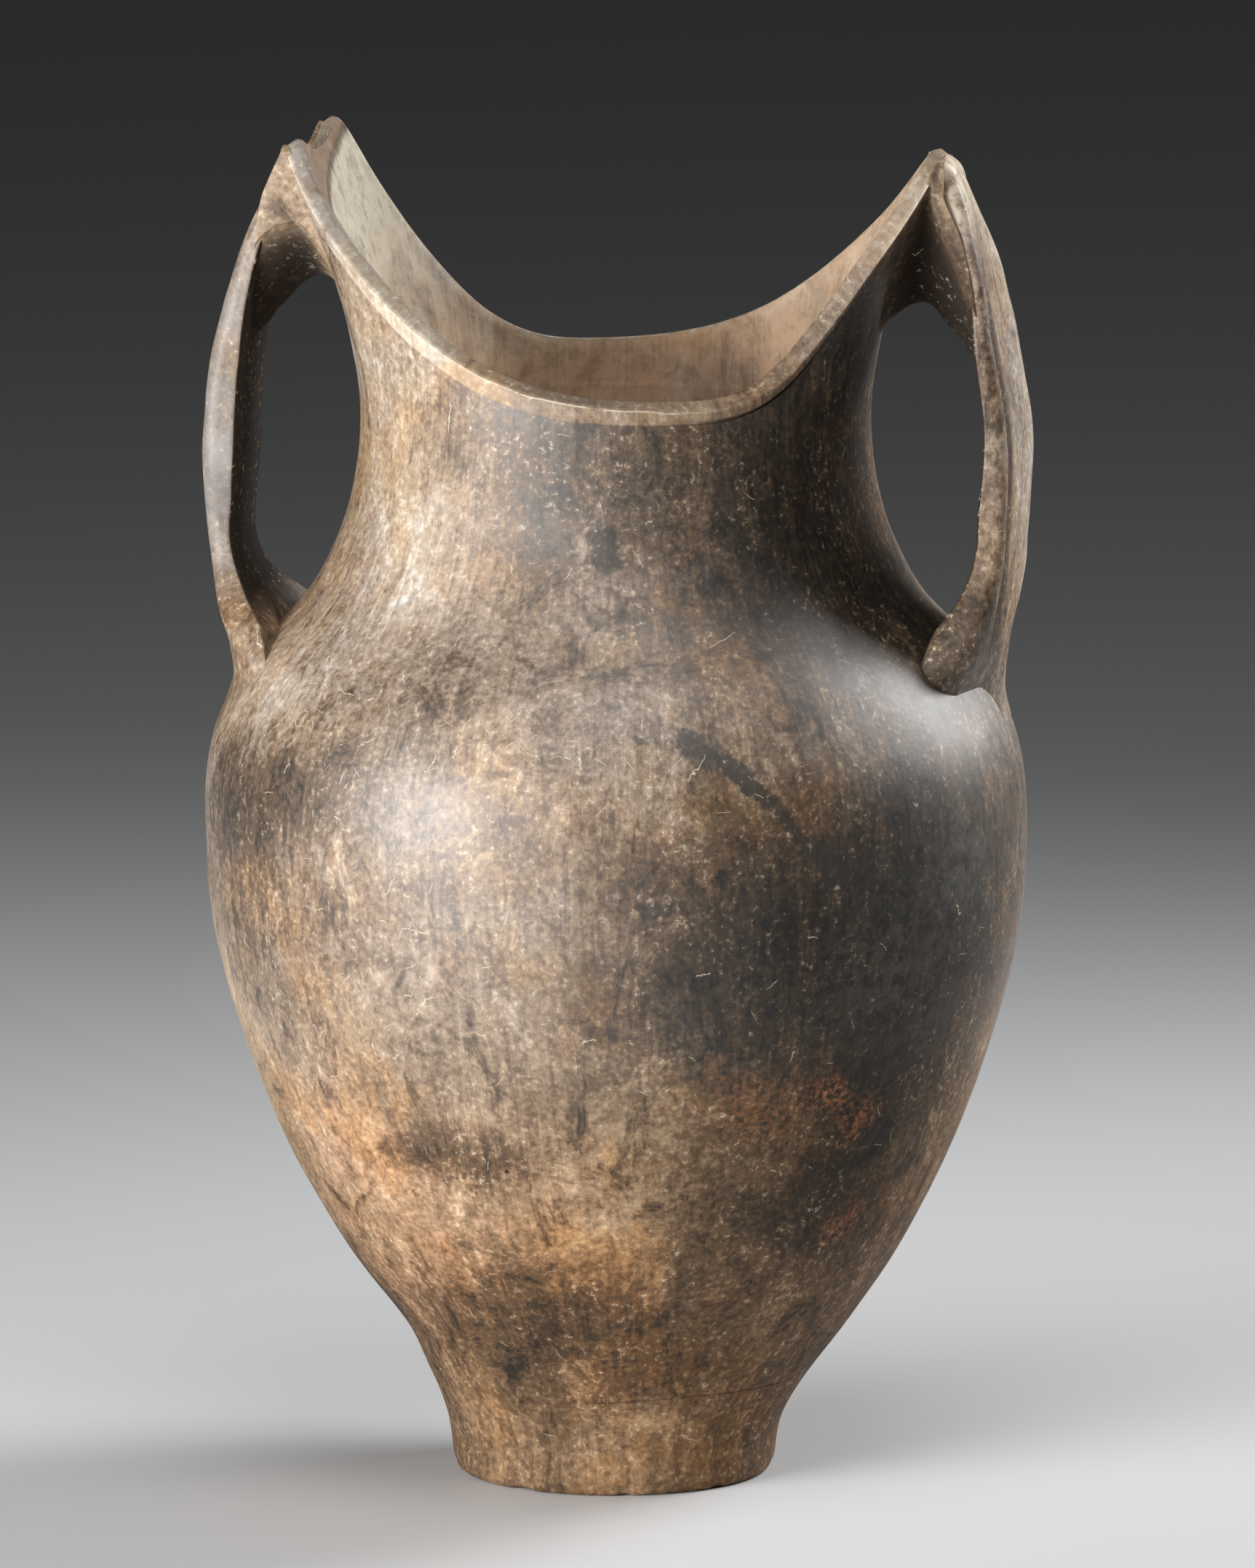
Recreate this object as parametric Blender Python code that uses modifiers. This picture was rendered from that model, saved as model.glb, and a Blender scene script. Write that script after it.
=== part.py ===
"""Hand-built pottery vase: clay wall courses, a saddle-shaped mouth and two strap handles.

The wall is stacked from a base disc and five courses that meet in scarf joints. The top course,
the neck, is lofted from a round section into a mouth with two flat ends that rise as horns. A lip
strip follows the saddle edge. Each handle is a wide strap that is pressed against one flat end of
the mouth, arches outwards and lands on the shoulder. A web of clay fills the arch at its top.

+X is the right handle, -Y the front, +Z up. The origin is at the middle of the foot's flat face.
"""

import math

import bmesh
import bpy
import numpy as np

# Turned body: each station's rise above the one below it, and its outer radius, in metres
FOOT_RADIUS = 0.0465
FOOT_EDGE_ROUND = 0.0022
ANKLE_HEIGHT = 0.016
ANKLE_FLARE = 0.0026
HEEL_RISE = 0.021
HEEL_RADIUS = 0.0600
LOWER_RISE = 0.0325
LOWER_RADIUS = 0.0824
FLANK_RISE = 0.052
FLANK_RADIUS = 0.1070
BELLY_RISE = 0.0605
BELLY_RADIUS = 0.1203
SHOULDER_RISE = 0.046
SHOULDER_INSET = 0.0051
BROW_RISE = 0.018
BROW_INSET = 0.0102
COLLAR_RISE = 0.016
COLLAR_FLARE = 0.0085
NAPE_RISE = 0.0155
NAPE_FLARE = 0.0074
NECK_RISE = 0.0365
NECK_RADIUS = 0.0746

# Mouth: the section turns from a circle into an oval with two flat ends
FLARE_RISE = 0.026
FLARE_SPREAD = 0.0037
HORN_RISE = 0.0575
LEFT_REACH = 0.0950
RIGHT_REACH = 0.1010
MOUTH_DEPTH = 0.0710
END_SKEW = 0.070
HORN_ANGLE = 20.0
CORNER_SHARPNESS = 30.0

# Saddle edge of the mouth, measured down from the tip of the left horn
RIGHT_HORN_DROP = 0.0040
SADDLE_DEPTH = 0.0700
RIM_SAG = 0.0045
FRONT_FALL = 2.9
BACK_FALL = 2.45
FRONT_LOW_ANGLE = -63.0
BACK_LOW_ANGLE = 107.0

# Wall, joints between the courses, and the lip strip
WALL = 0.0070
FLOOR_THICKNESS = 0.0100
FOOT_JOINT_RISE = 0.012
LOWER_JOINT_DROP = 0.0135
BELLY_JOINT_RISE = 0.014
NECK_JOINT_RISE = 0.008
SCARF_DROP = 0.0060
JOINT_GAP = 0.0003
LIP_HEIGHT = 0.0065
LIP_BEVEL = 0.0036
LIP_OVERHANG = 0.0008
LIP_GAP = 0.0005
LIP_CREST_SHARE = 0.86

# Strap handles: outer face, thickness and width from the top down
HANDLE_STANDOFF = 0.0146
HANDLE_REACH_RISE = 0.057
HANDLE_ROOT_DROP = 0.059
HANDLE_ROOT_INSET = 0.0111
UPPER_BOW = 1.8
LOWER_BOW = 2.0
STRAP_TOP_THICKNESS = 0.0042
STRAP_THICKNESS = 0.0084
STRAP_ROOT_THICKNESS = 0.0135
STRAP_TOP_WIDTH = 0.0500
STRAP_WIDTH = 0.0470
STRAP_ROOT_WIDTH = 0.0740
STRAP_SPREAD_HEIGHT = 0.024
STRAP_TROUGH = 0.0016
STRAP_EDGE_POWER = 0.45
STRAP_FACE_POWER = 0.60
STRAP_TOP_SETBACK = 0.0085
SEAT_GAP = 0.0003

# Webs of clay in the tops of the arches
WEB_DROP = 0.0455
WEB_EDGE_RISE = 0.022
WEB_ARCH = 0.0070
WEB_TOP_THICKNESS = 0.0012

# Mesh resolution
TURN_STEPS = 56
ROW_HEIGHT = 0.0095
END_CELLS = 6
SIDE_CELLS = 11
SIDE_CROWDING = 1.3
NECK_ROWS = 10
ENVELOPE_ROWS = 14
STRAP_ROWS = 22
STRAP_POINTS = 16
WEB_ROWS = 6
ARCH_CELLS = 4
SAMPLE_STEP = 0.0005
SAMPLE_TURN = 2.0
SHARP_ANGLE = 40.0

LEFT = -1
RIGHT = 1
SIDE_NAME = {LEFT: "left", RIGHT: "right"}

# Stations worked out from the sizes above, upwards from the foot
ANKLE_RADIUS = FOOT_RADIUS + ANKLE_FLARE
HEEL_HEIGHT = ANKLE_HEIGHT + HEEL_RISE
LOWER_HEIGHT = HEEL_HEIGHT + LOWER_RISE
FLANK_HEIGHT = LOWER_HEIGHT + FLANK_RISE
BELLY_HEIGHT = FLANK_HEIGHT + BELLY_RISE
SHOULDER_HEIGHT = BELLY_HEIGHT + SHOULDER_RISE
SHOULDER_RADIUS = BELLY_RADIUS - SHOULDER_INSET
BROW_HEIGHT = SHOULDER_HEIGHT + BROW_RISE
BROW_RADIUS = SHOULDER_RADIUS - BROW_INSET
COLLAR_HEIGHT = BROW_HEIGHT + COLLAR_RISE
NAPE_HEIGHT = COLLAR_HEIGHT + NAPE_RISE
NAPE_RADIUS = NECK_RADIUS + NAPE_FLARE
COLLAR_RADIUS = NAPE_RADIUS + COLLAR_FLARE
NECK_HEIGHT = NAPE_HEIGHT + NECK_RISE
FLARE_HEIGHT = NECK_HEIGHT + FLARE_RISE
FLARE_REACH = NECK_RADIUS + FLARE_SPREAD
HORN_HEIGHT = FLARE_HEIGHT + HORN_RISE

# What follows those stations: the joints, the rim, the straps and the webs
FOOT_JOINT = ANKLE_HEIGHT + FOOT_JOINT_RISE
LOWER_JOINT = FLANK_HEIGHT - LOWER_JOINT_DROP
BELLY_JOINT = BELLY_HEIGHT + BELLY_JOINT_RISE
NECK_JOINT = COLLAR_HEIGHT + NECK_JOINT_RISE
RIM_LOW = HORN_HEIGHT - SADDLE_DEPTH
RIM_END = {LEFT: HORN_HEIGHT, RIGHT: HORN_HEIGHT - RIGHT_HORN_DROP}
REACH = {LEFT: LEFT_REACH, RIGHT: RIGHT_REACH}
HANDLE_REACH = BROW_RADIUS + HANDLE_STANDOFF
HANDLE_REACH_HEIGHT = BROW_HEIGHT + HANDLE_REACH_RISE
WEB_CLEAR_HEIGHT = HORN_HEIGHT - WEB_DROP

BODY_STATIONS = [
    (0.0, FOOT_RADIUS),
    (ANKLE_HEIGHT, ANKLE_RADIUS),
    (HEEL_HEIGHT, HEEL_RADIUS),
    (LOWER_HEIGHT, LOWER_RADIUS),
    (FLANK_HEIGHT, FLANK_RADIUS),
    (BELLY_HEIGHT, BELLY_RADIUS),
    (SHOULDER_HEIGHT, SHOULDER_RADIUS),
    (BROW_HEIGHT, BROW_RADIUS),
    (COLLAR_HEIGHT, COLLAR_RADIUS),
    (NAPE_HEIGHT, NAPE_RADIUS),
    (NECK_HEIGHT, NECK_RADIUS),
]


def smooth_curve(at, stations):
    """Cubic curve through the stations, with each slope the mean of its two chords."""
    knots, values = (np.array(column) for column in zip(*stations))
    chords = np.diff(values) / np.diff(knots)
    steps = np.diff(knots)
    slopes = np.empty_like(values)
    slopes[1:-1] = (chords[:-1] * steps[1:] + chords[1:] * steps[:-1]) / (steps[1:] + steps[:-1])
    slopes[0] = chords[0]
    slopes[-1] = chords[-1]
    at = np.asarray(at, dtype=float)
    cell = np.clip(np.searchsorted(knots, at) - 1, 0, len(knots) - 2)
    t = (at - knots[cell]) / steps[cell]
    rise = steps[cell] * t * (1 - t)
    start = values[cell] * (1 - t) ** 2 * (1 + 2 * t) + slopes[cell] * rise * (1 - t)
    end = values[cell + 1] * t**2 * (3 - 2 * t) - slopes[cell + 1] * rise * t
    return start + end


def body_radius(z):
    """Outer radius of the round part of the wall."""
    return smooth_curve(z, BODY_STATIONS)


def wall_reach(z, side):
    """Half length of the wall's section towards one handle."""
    mouth = [(FLARE_HEIGHT, FLARE_REACH), (HORN_HEIGHT, REACH[side])]
    return smooth_curve(z, BODY_STATIONS + mouth)


def wall_depth(z):
    """Half depth of the wall's section, front to back."""
    return smooth_curve(z, BODY_STATIONS + [(HORN_HEIGHT, MOUTH_DEPTH)])


def mouth_share(z):
    """How far the section has turned from round (0) to flat-ended (1)."""
    t = np.clip((np.asarray(z) - NECK_HEIGHT) / (HORN_HEIGHT - NECK_HEIGHT), 0.0, 1.0)
    return t * t * (3 - 2 * t)


def wall_inset(z):
    """Horizontal thickness of the wall, so that it is WALL thick across its slope."""
    z = np.asarray(z, dtype=float)
    low = np.clip(z - SAMPLE_STEP, 0.0, NECK_HEIGHT)
    high = np.clip(z + SAMPLE_STEP, SAMPLE_STEP, NECK_HEIGHT)
    slope = (body_radius(high) - body_radius(low)) / np.maximum(high - low, SAMPLE_STEP)
    return WALL * np.sqrt(1 + slope**2)


def flat_end(angle):
    """Cosine with its crest cut off flat, the plan of a section with flat ends."""
    cosine = np.cos(angle)
    crest = 1 / math.cos(math.radians(HORN_ANGLE))
    cut = (1 + (crest * np.abs(cosine)) ** CORNER_SHARPNESS) / (1 + crest**CORNER_SHARPNESS)
    return cosine * cut ** (-1 / CORNER_SHARPNESS)


def wall_points(angle, z, inset):
    """Points of the wall's section at each angle and height, set in from its outside."""
    angle, z, inset = np.broadcast_arrays(angle, z, inset)
    share = mouth_share(z)
    reach = np.where(np.cos(angle) < 0, wall_reach(z, LEFT), wall_reach(z, RIGHT))
    across = (1 - share) * np.cos(angle) + share * flat_end(angle)
    x = (reach - inset) * across * (1 - END_SKEW * share * np.sin(angle))
    y = (wall_depth(z) - inset) * np.sin(angle)
    return np.stack([x, y, z], axis=-1)


def rim_angles():
    """Angles of the columns round the mouth, closest together beside the horns."""
    end = np.linspace(-HORN_ANGLE, HORN_ANGLE, END_CELLS + 1)[:-1]
    spread = np.linspace(0, 1, SIDE_CELLS + 1)[:-1] ** SIDE_CROWDING
    back_right = HORN_ANGLE + (BACK_LOW_ANGLE - HORN_ANGLE) * spread
    back_left = 180 - HORN_ANGLE - (180 - HORN_ANGLE - BACK_LOW_ANGLE) * spread
    front_low = FRONT_LOW_ANGLE + 360
    front_left = 180 + HORN_ANGLE + (front_low - 180 - HORN_ANGLE) * spread
    front_right = 360 - HORN_ANGLE - (360 - HORN_ANGLE - front_low) * spread
    degrees = np.concatenate([
        end, back_right, [BACK_LOW_ANGLE], back_left[:0:-1],
        180 + end, front_left, [front_low], front_right[:0:-1],
    ])
    return np.radians(degrees)


def rim_height(angle):
    """Height of the mouth's inner edge: high on the flat ends, falling to two low points."""
    turn = np.mod(np.degrees(angle) + 180, 360) - 180
    at_back = turn > 0
    bow = np.where(at_back, BACK_FALL, FRONT_FALL)
    low = np.where(at_back, BACK_LOW_ANGLE, -FRONT_LOW_ANGLE)
    on_right = np.abs(turn) < low
    end_height = np.where(on_right, RIM_END[RIGHT], RIM_END[LEFT])
    from_end = np.where(on_right, np.abs(turn), 180 - np.abs(turn))
    span = np.where(on_right, low, 180 - low) - HORN_ANGLE
    fall = np.clip((from_end - HORN_ANGLE) / span, 0, 1)
    sag = RIM_SAG * np.clip(1 - (from_end / HORN_ANGLE) ** 2, 0, 1)
    return RIM_LOW + (end_height - RIM_LOW) * (1 - fall) ** bow - sag


def lip_stretch(angle):
    """Length of the rim's slope against its plan, which keeps the lip as wide on the slopes."""
    step = math.radians(SAMPLE_TURN)
    ahead = wall_points(angle + step, rim_height(angle + step), WALL)
    behind = wall_points(angle - step, rim_height(angle - step), WALL)
    run = ahead - behind
    return np.sqrt(1 + run[:, 2] ** 2 / (run[:, 0] ** 2 + run[:, 1] ** 2))


def lip_base(angle):
    """Height of the joint between the neck and the lip strip."""
    return rim_height(angle) - LIP_HEIGHT * lip_stretch(angle)


def strap_outer(z, side):
    """Distance of a strap's outer face from the axis."""
    top = RIM_END[side] - STRAP_TOP_SETBACK
    start = wall_reach(top, side) + LIP_OVERHANG + SEAT_GAP + STRAP_TOP_THICKNESS
    rise = np.clip((z - HANDLE_REACH_HEIGHT) / (top - HANDLE_REACH_HEIGHT), 0, None)
    drop = np.clip((HANDLE_REACH_HEIGHT - z) / HANDLE_ROOT_DROP, 0, None)
    upper = (HANDLE_REACH - start) * rise**UPPER_BOW
    return HANDLE_REACH - upper - HANDLE_ROOT_INSET * drop**LOWER_BOW


def strap_frame(side):
    """Heights, outer face points, outward normals, thicknesses and widths down a strap."""
    top = RIM_END[side] - STRAP_TOP_SETBACK
    root = HANDLE_REACH_HEIGHT - HANDLE_ROOT_DROP
    bottom = root - 2 * STRAP_THICKNESS
    z = np.linspace(top, bottom, STRAP_ROWS)
    ahead = strap_outer(z + SAMPLE_STEP, side)
    behind = strap_outer(z - SAMPLE_STEP, side)
    slope = (ahead - behind) / (2 * SAMPLE_STEP)
    length = np.sqrt(1 + slope**2)
    spread = root + STRAP_SPREAD_HEIGHT
    thickness = smooth_curve(z, [
        (bottom, STRAP_ROOT_THICKNESS), (root, STRAP_ROOT_THICKNESS), (spread, STRAP_THICKNESS),
        (HANDLE_REACH_HEIGHT, STRAP_THICKNESS), (top, STRAP_TOP_THICKNESS),
    ])
    width = smooth_curve(z, [
        (bottom, STRAP_ROOT_WIDTH), (root, STRAP_ROOT_WIDTH), (spread, STRAP_WIDTH),
        (HANDLE_REACH_HEIGHT, STRAP_WIDTH), (top, STRAP_TOP_WIDTH),
    ])
    return z, strap_outer(z, side), 1 / length, -slope / length, thickness, width


def signed_power(value, power):
    """Power of a number's size that keeps its sign."""
    return np.sign(value) * np.abs(value) ** power


def collection(name):
    """New collection in the scene."""
    made = bpy.data.collections.new(name)
    bpy.context.scene.collection.children.link(made)
    return made


def clay(name, colour, roughness):
    """Fired clay material for one piece."""
    material = bpy.data.materials.new(name + "_clay")
    material.use_nodes = True
    shader = material.node_tree.nodes["Principled BSDF"]
    shader.inputs["Base Color"].default_value = (*colour, 1.0)
    shader.inputs["Roughness"].default_value = roughness
    shader.inputs["Metallic"].default_value = 0.0
    return material


def add_object(name, mesh, where, material=None):
    """Object in a collection, with its own material if it has one."""
    made = bpy.data.objects.new(name, mesh)
    where.objects.link(made)
    if material is not None:
        mesh.materials.append(material)
    return made


def lofted_mesh(name, sections, ring):
    """Mesh through closed sections, joined end to end as a ring or capped at both ends."""
    rows, count, _ = sections.shape
    bm = bmesh.new()
    verts = [[bm.verts.new(point) for point in section] for section in sections]
    for row in range(rows if ring else rows - 1):
        near = verts[row]
        far = verts[(row + 1) % rows]
        for i in range(count):
            j = (i + 1) % count
            bm.faces.new((near[i], near[j], far[j], far[i]))
    if not ring:
        bm.faces.new(verts[0])
        bm.faces.new(verts[-1])
    bmesh.ops.recalc_face_normals(bm, faces=bm.faces)
    mesh = bpy.data.meshes.new(name)
    bm.to_mesh(mesh)
    bm.free()
    mesh.shade_smooth()
    mesh.set_sharp_from_angle(angle=math.radians(SHARP_ANGLE))
    return mesh


def turned(name, profile, closed, where, material=None):
    """Object turned about Z from a profile that runs down its outer side."""
    mesh = bpy.data.meshes.new(name)
    count = len(profile)
    edges = [(i, i + 1) for i in range(count - 1)]
    if closed:
        edges.append((count - 1, 0))
    mesh.from_pydata([(r, 0.0, z) for r, z in profile], edges, [])
    made = add_object(name, mesh, where, material)
    screw = made.modifiers.new("turn", "SCREW")
    screw.axis = "Z"
    screw.angle = 2 * math.pi
    screw.steps = TURN_STEPS
    screw.render_steps = TURN_STEPS
    screw.use_merge_vertices = True
    screw.merge_threshold = 0.00001
    screw.use_smooth_shade = True
    return made


def make_base_disc(where):
    """Flat clay disc that the first course stands on, with a rounded lower edge."""
    corner = np.linspace(0, math.pi / 2, 4)
    rounded_r = FOOT_RADIUS - FOOT_EDGE_ROUND * (1 - np.cos(corner))
    rounded_z = FOOT_EDGE_ROUND * (1 - np.sin(corner))
    profile = [(0.0, FLOOR_THICKNESS), (float(body_radius(FLOOR_THICKNESS)), FLOOR_THICKNESS)]
    profile += list(zip(rounded_r.tolist(), rounded_z.tolist()))
    profile.append((0.0, 0.0))
    return turned("base_disc", profile, False, where, clay("base_disc", (0.30, 0.25, 0.20), 0.62))


def make_course(name, low, high, where, colour, foot=False):
    """Wall course between two joints, whose faces slope down towards the inside."""
    half = JOINT_GAP / 2
    cells = 1 + math.ceil((high - low) / ROW_HEIGHT)
    bottom = low + (JOINT_GAP if foot else half)
    top = high - half
    inner_bottom = bottom if foot else bottom - SCARF_DROP
    outer_z = np.linspace(top, bottom, cells + 1)
    inner_z = np.linspace(inner_bottom, top - SCARF_DROP, cells + 1)
    outer_r = body_radius(outer_z)
    inner_r = body_radius(inner_z) - wall_inset(inner_z)
    profile = list(zip(outer_r.tolist(), outer_z.tolist()))
    profile += list(zip(inner_r.tolist(), inner_z.tolist()))
    return turned(name, profile, True, where, clay(name, colour, 0.48))


def make_neck(where):
    """Neck course, lofted from the round shoulder joint up to the saddle edge under the lip."""
    angle = rim_angles()
    half = JOINT_GAP / 2
    top = lip_base(angle) - LIP_GAP / 2 * lip_stretch(angle)
    share = np.linspace(0, 1, NECK_ROWS)[:, None]
    bottom = NECK_JOINT + half
    outer_z = bottom + (top - bottom) * share
    inner_z = bottom - SCARF_DROP + (top - bottom + SCARF_DROP) * share
    outer = wall_points(angle, outer_z, 0.0)
    inner = wall_points(angle, inner_z, wall_inset(inner_z))
    sections = np.concatenate([outer, inner[::-1]]).transpose(1, 0, 2)
    material = clay("neck_wall", (0.27, 0.23, 0.19), 0.44)
    return add_object("neck_wall", lofted_mesh("neck_wall", sections, True), where, material)


def make_rim_lip(where):
    """Strip along the mouth's edge: its top slopes outwards, and it stands a little proud."""
    angle = rim_angles()
    crest = rim_height(angle)
    stretch = lip_stretch(angle)
    base = lip_base(angle) + LIP_GAP / 2 * stretch
    edge = crest - LIP_BEVEL * stretch
    crest_inset = WALL * LIP_CREST_SHARE
    sections = np.stack([
        wall_points(angle, base, 0.0),
        wall_points(angle, (base + edge) / 2, -LIP_OVERHANG),
        wall_points(angle, edge, -LIP_OVERHANG),
        wall_points(angle, (edge + crest) / 2, crest_inset / 2),
        wall_points(angle, crest, crest_inset),
        wall_points(angle, crest - (WALL - crest_inset), WALL),
        wall_points(angle, base, WALL),
    ], axis=1)
    material = clay("rim_lip", (0.34, 0.27, 0.20), 0.50)
    return add_object("rim_lip", lofted_mesh("rim_lip", sections, True), where, material)


def make_wall_envelope(where):
    """Cutter with the wall's outside, lip included, plus the seat gap: it shapes the seats."""
    angle = rim_angles()
    low = FLANK_HEIGHT
    high = HORN_HEIGHT + STRAP_TOP_WIDTH
    z = np.concatenate([
        np.linspace(low, NECK_JOINT, ENVELOPE_ROWS)[:-1],
        np.linspace(NECK_JOINT, HORN_HEIGHT, ENVELOPE_ROWS),
        [high],
    ])[:, None]
    proud = SEAT_GAP + LIP_OVERHANG * mouth_share(z)
    flat_z = np.minimum(z, HORN_HEIGHT)
    sections = wall_points(angle, flat_z, -proud)
    sections[..., 2] = z
    made = add_object("wall_envelope", lofted_mesh("wall_envelope", sections, False), where)
    made.hide_render = True
    made.display_type = "WIRE"
    return made


def make_strap(side, envelope, where):
    """Strap handle: a rounded section with a hollowed outer face, carried down its path."""
    z, outer, normal_x, normal_z, thickness, width = strap_frame(side)
    turn = np.linspace(0, 2 * math.pi, STRAP_POINTS, endpoint=False)
    across = signed_power(np.cos(turn), STRAP_EDGE_POWER)
    through = signed_power(np.sin(turn), STRAP_FACE_POWER)
    trough = STRAP_TROUGH * (1 - across**2) ** 2 * (np.sin(turn) > 0)
    out = thickness[:, None] / 2 * (through - 1) - trough
    sections = np.stack([
        side * (outer[:, None] + out * normal_x[:, None]),
        np.broadcast_to(across, out.shape) * width[:, None] / 2,
        z[:, None] + out * normal_z[:, None],
    ], axis=-1)
    name = SIDE_NAME[side] + "_handle"
    colour = (0.24, 0.21, 0.18) if side == LEFT else (0.33, 0.27, 0.20)
    made = add_object(name, lofted_mesh(name, sections, False), where, clay(name, colour, 0.46))
    cut = made.modifiers.new("seat", "BOOLEAN")
    cut.operation = "DIFFERENCE"
    cut.solver = "EXACT"
    cut.object = envelope
    return made


def strap_inner(z, side):
    """Distance of a strap's inner face from the axis."""
    path_z, outer, normal_x, normal_z, thickness, _ = strap_frame(side)
    inner_x = outer - thickness * normal_x
    inner_z = path_z - thickness * normal_z
    return np.interp(z, inner_z[::-1], inner_x[::-1])


def web_top(side):
    """Height at which the space between a strap and the wall has narrowed to a thin edge."""
    z = np.linspace(WEB_CLEAR_HEIGHT, RIM_END[side] - STRAP_TOP_SETBACK, 200)
    space = strap_inner(z, side) - wall_reach(z, side) - LIP_OVERHANG - 2 * SEAT_GAP
    return float(z[space > WEB_TOP_THICKNESS].max())


def make_web(side, where):
    """Web of clay between a strap and the mouth's flat end, with an arched underside."""
    angle = np.radians(np.linspace(-HORN_ANGLE, HORN_ANGLE, END_CELLS + 1))
    if side == LEFT:
        angle = math.pi - angle
    spread = np.sin(angle) / math.sin(math.radians(HORN_ANGLE))
    clear = WEB_CLEAR_HEIGHT + WEB_EDGE_RISE * spread**2
    top = web_top(side)
    share = np.linspace(0, 1, WEB_ROWS)[:, None]
    side_z = clear - WEB_ARCH + (top - clear + WEB_ARCH) * share
    proud = SEAT_GAP + LIP_OVERHANG * mouth_share(side_z)
    inner = wall_points(angle, side_z, -proud)
    outer = inner.copy()
    outer[..., 0] = side * (strap_inner(side_z, side) - SEAT_GAP)
    arch_share = np.linspace(0, 1, ARCH_CELLS + 1)[1:-1, None]
    arch = inner[0] + (outer[0] - inner[0]) * arch_share[..., None]
    arch[..., 2] += WEB_ARCH * np.sin(math.pi * arch_share)
    sections = np.concatenate([inner[::-1], arch, outer]).transpose(1, 0, 2)
    name = SIDE_NAME[side] + "_handle_web"
    mesh = lofted_mesh(name, sections, False)
    return add_object(name, mesh, where, clay(name, (0.22, 0.17, 0.13), 0.60))


def main():
    """Build every piece of the vase."""
    for old in list(bpy.data.objects):
        bpy.data.objects.remove(old, do_unlink=True)
    pieces = collection("pottery_vase")
    cutters = collection("cutters")
    make_base_disc(pieces)
    make_course("foot_wall", FLOOR_THICKNESS, FOOT_JOINT, pieces, (0.31, 0.26, 0.21), foot=True)
    make_course("lower_wall", FOOT_JOINT, LOWER_JOINT, pieces, (0.32, 0.26, 0.21))
    make_course("belly_wall", LOWER_JOINT, BELLY_JOINT, pieces, (0.30, 0.26, 0.21))
    make_course("shoulder_wall", BELLY_JOINT, NECK_JOINT, pieces, (0.28, 0.24, 0.20))
    make_neck(pieces)
    make_rim_lip(pieces)
    envelope = make_wall_envelope(cutters)
    for side in (LEFT, RIGHT):
        make_strap(side, envelope, pieces)
        make_web(side, pieces)


main()
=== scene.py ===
"""Looks of the hand-built pottery vase: its clay skins, their finishes, the light and the camera.

Every clay piece of the frame gets a fine skin, worked out on a grid from the sizes of the wall, the
mouth and the handles, with the unevenness that hands leave. One shared fired-clay recipe, read in
object coordinates, runs on from piece to piece, so that the joints don't show where the pot has none.
"""

import logging
import math
from dataclasses import dataclass
from enum import Enum
from typing import Any

import bpy
import numpy as np
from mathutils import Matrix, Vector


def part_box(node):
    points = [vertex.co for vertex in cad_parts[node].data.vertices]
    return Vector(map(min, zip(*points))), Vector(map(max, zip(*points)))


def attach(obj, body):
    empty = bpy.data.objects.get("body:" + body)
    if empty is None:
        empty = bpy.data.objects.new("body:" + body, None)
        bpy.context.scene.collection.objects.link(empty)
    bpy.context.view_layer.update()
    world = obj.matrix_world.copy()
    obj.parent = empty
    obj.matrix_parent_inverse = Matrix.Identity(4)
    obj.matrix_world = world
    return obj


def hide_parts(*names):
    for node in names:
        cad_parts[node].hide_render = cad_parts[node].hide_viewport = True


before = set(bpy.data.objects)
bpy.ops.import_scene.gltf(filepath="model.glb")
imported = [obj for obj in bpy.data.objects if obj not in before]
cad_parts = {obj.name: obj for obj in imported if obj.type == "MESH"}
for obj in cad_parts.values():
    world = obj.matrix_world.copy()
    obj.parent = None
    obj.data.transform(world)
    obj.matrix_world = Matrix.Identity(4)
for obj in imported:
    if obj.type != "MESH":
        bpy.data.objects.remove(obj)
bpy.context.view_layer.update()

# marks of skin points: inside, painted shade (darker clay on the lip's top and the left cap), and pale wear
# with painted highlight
MARKS = ("inner", "shade", "wear")
Array = np.ndarray
Colour = tuple[float, float, float]
Point = tuple[float, float, float]
Span = tuple[float, float]
Stations = tuple[Span, ...]

log = logging.getLogger("vase")


class Side(Enum):
    """End of the mouth that a handle belongs to, as the sign of X."""

    LEFT = -1
    RIGHT = 1


def smooth_curve(at: Array, stations: Stations) -> Array:
    """Cubic curve through stations, each slope the mean of its two chords, weighted by their steps.

    Args:
        at: places to read the curve at.
        stations: place and value of each station, in rising order of place.

    Returns:
        The curve's value at each place.
    """
    knots, values = (np.array(column) for column in zip(*stations))
    steps = np.diff(knots)
    chords = np.diff(values) / steps
    slopes = np.empty_like(values)
    slopes[1:-1] = (chords[:-1] * steps[1:] + chords[1:] * steps[:-1]) / (steps[1:] + steps[:-1])
    slopes[0], slopes[-1] = chords[0], chords[-1]
    at = np.asarray(at, dtype=float)
    cell = np.clip(np.searchsorted(knots, at) - 1, 0, len(knots) - 2)
    t = (at - knots[cell]) / steps[cell]
    rise = steps[cell] * t * (1 - t)
    start = values[cell] * (1 - t) ** 2 * (1 + 2 * t) + slopes[cell] * rise * (1 - t)
    end = values[cell + 1] * t**2 * (3 - 2 * t) - slopes[cell + 1] * rise * t
    return start + end


def ease(low: float, high: float, value: Array) -> Array:
    """Smooth step from 0 at low to 1 at high: 3t squared less 2t cubed."""
    t = np.clip((np.asarray(value, dtype=float) - low) / (high - low), 0.0, 1.0)
    return t * t * (3 - 2 * t)


def wrapped(degrees: Array) -> Array:
    """Angles in degrees, brought between -180 and 180."""
    return np.mod(degrees + 180, 360) - 180


def full_turn(columns: int) -> Array:
    """Even angles round the axis, in radians, of which the last falls short of the first."""
    return np.linspace(0, 2 * math.pi, columns, endpoint=False)


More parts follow.
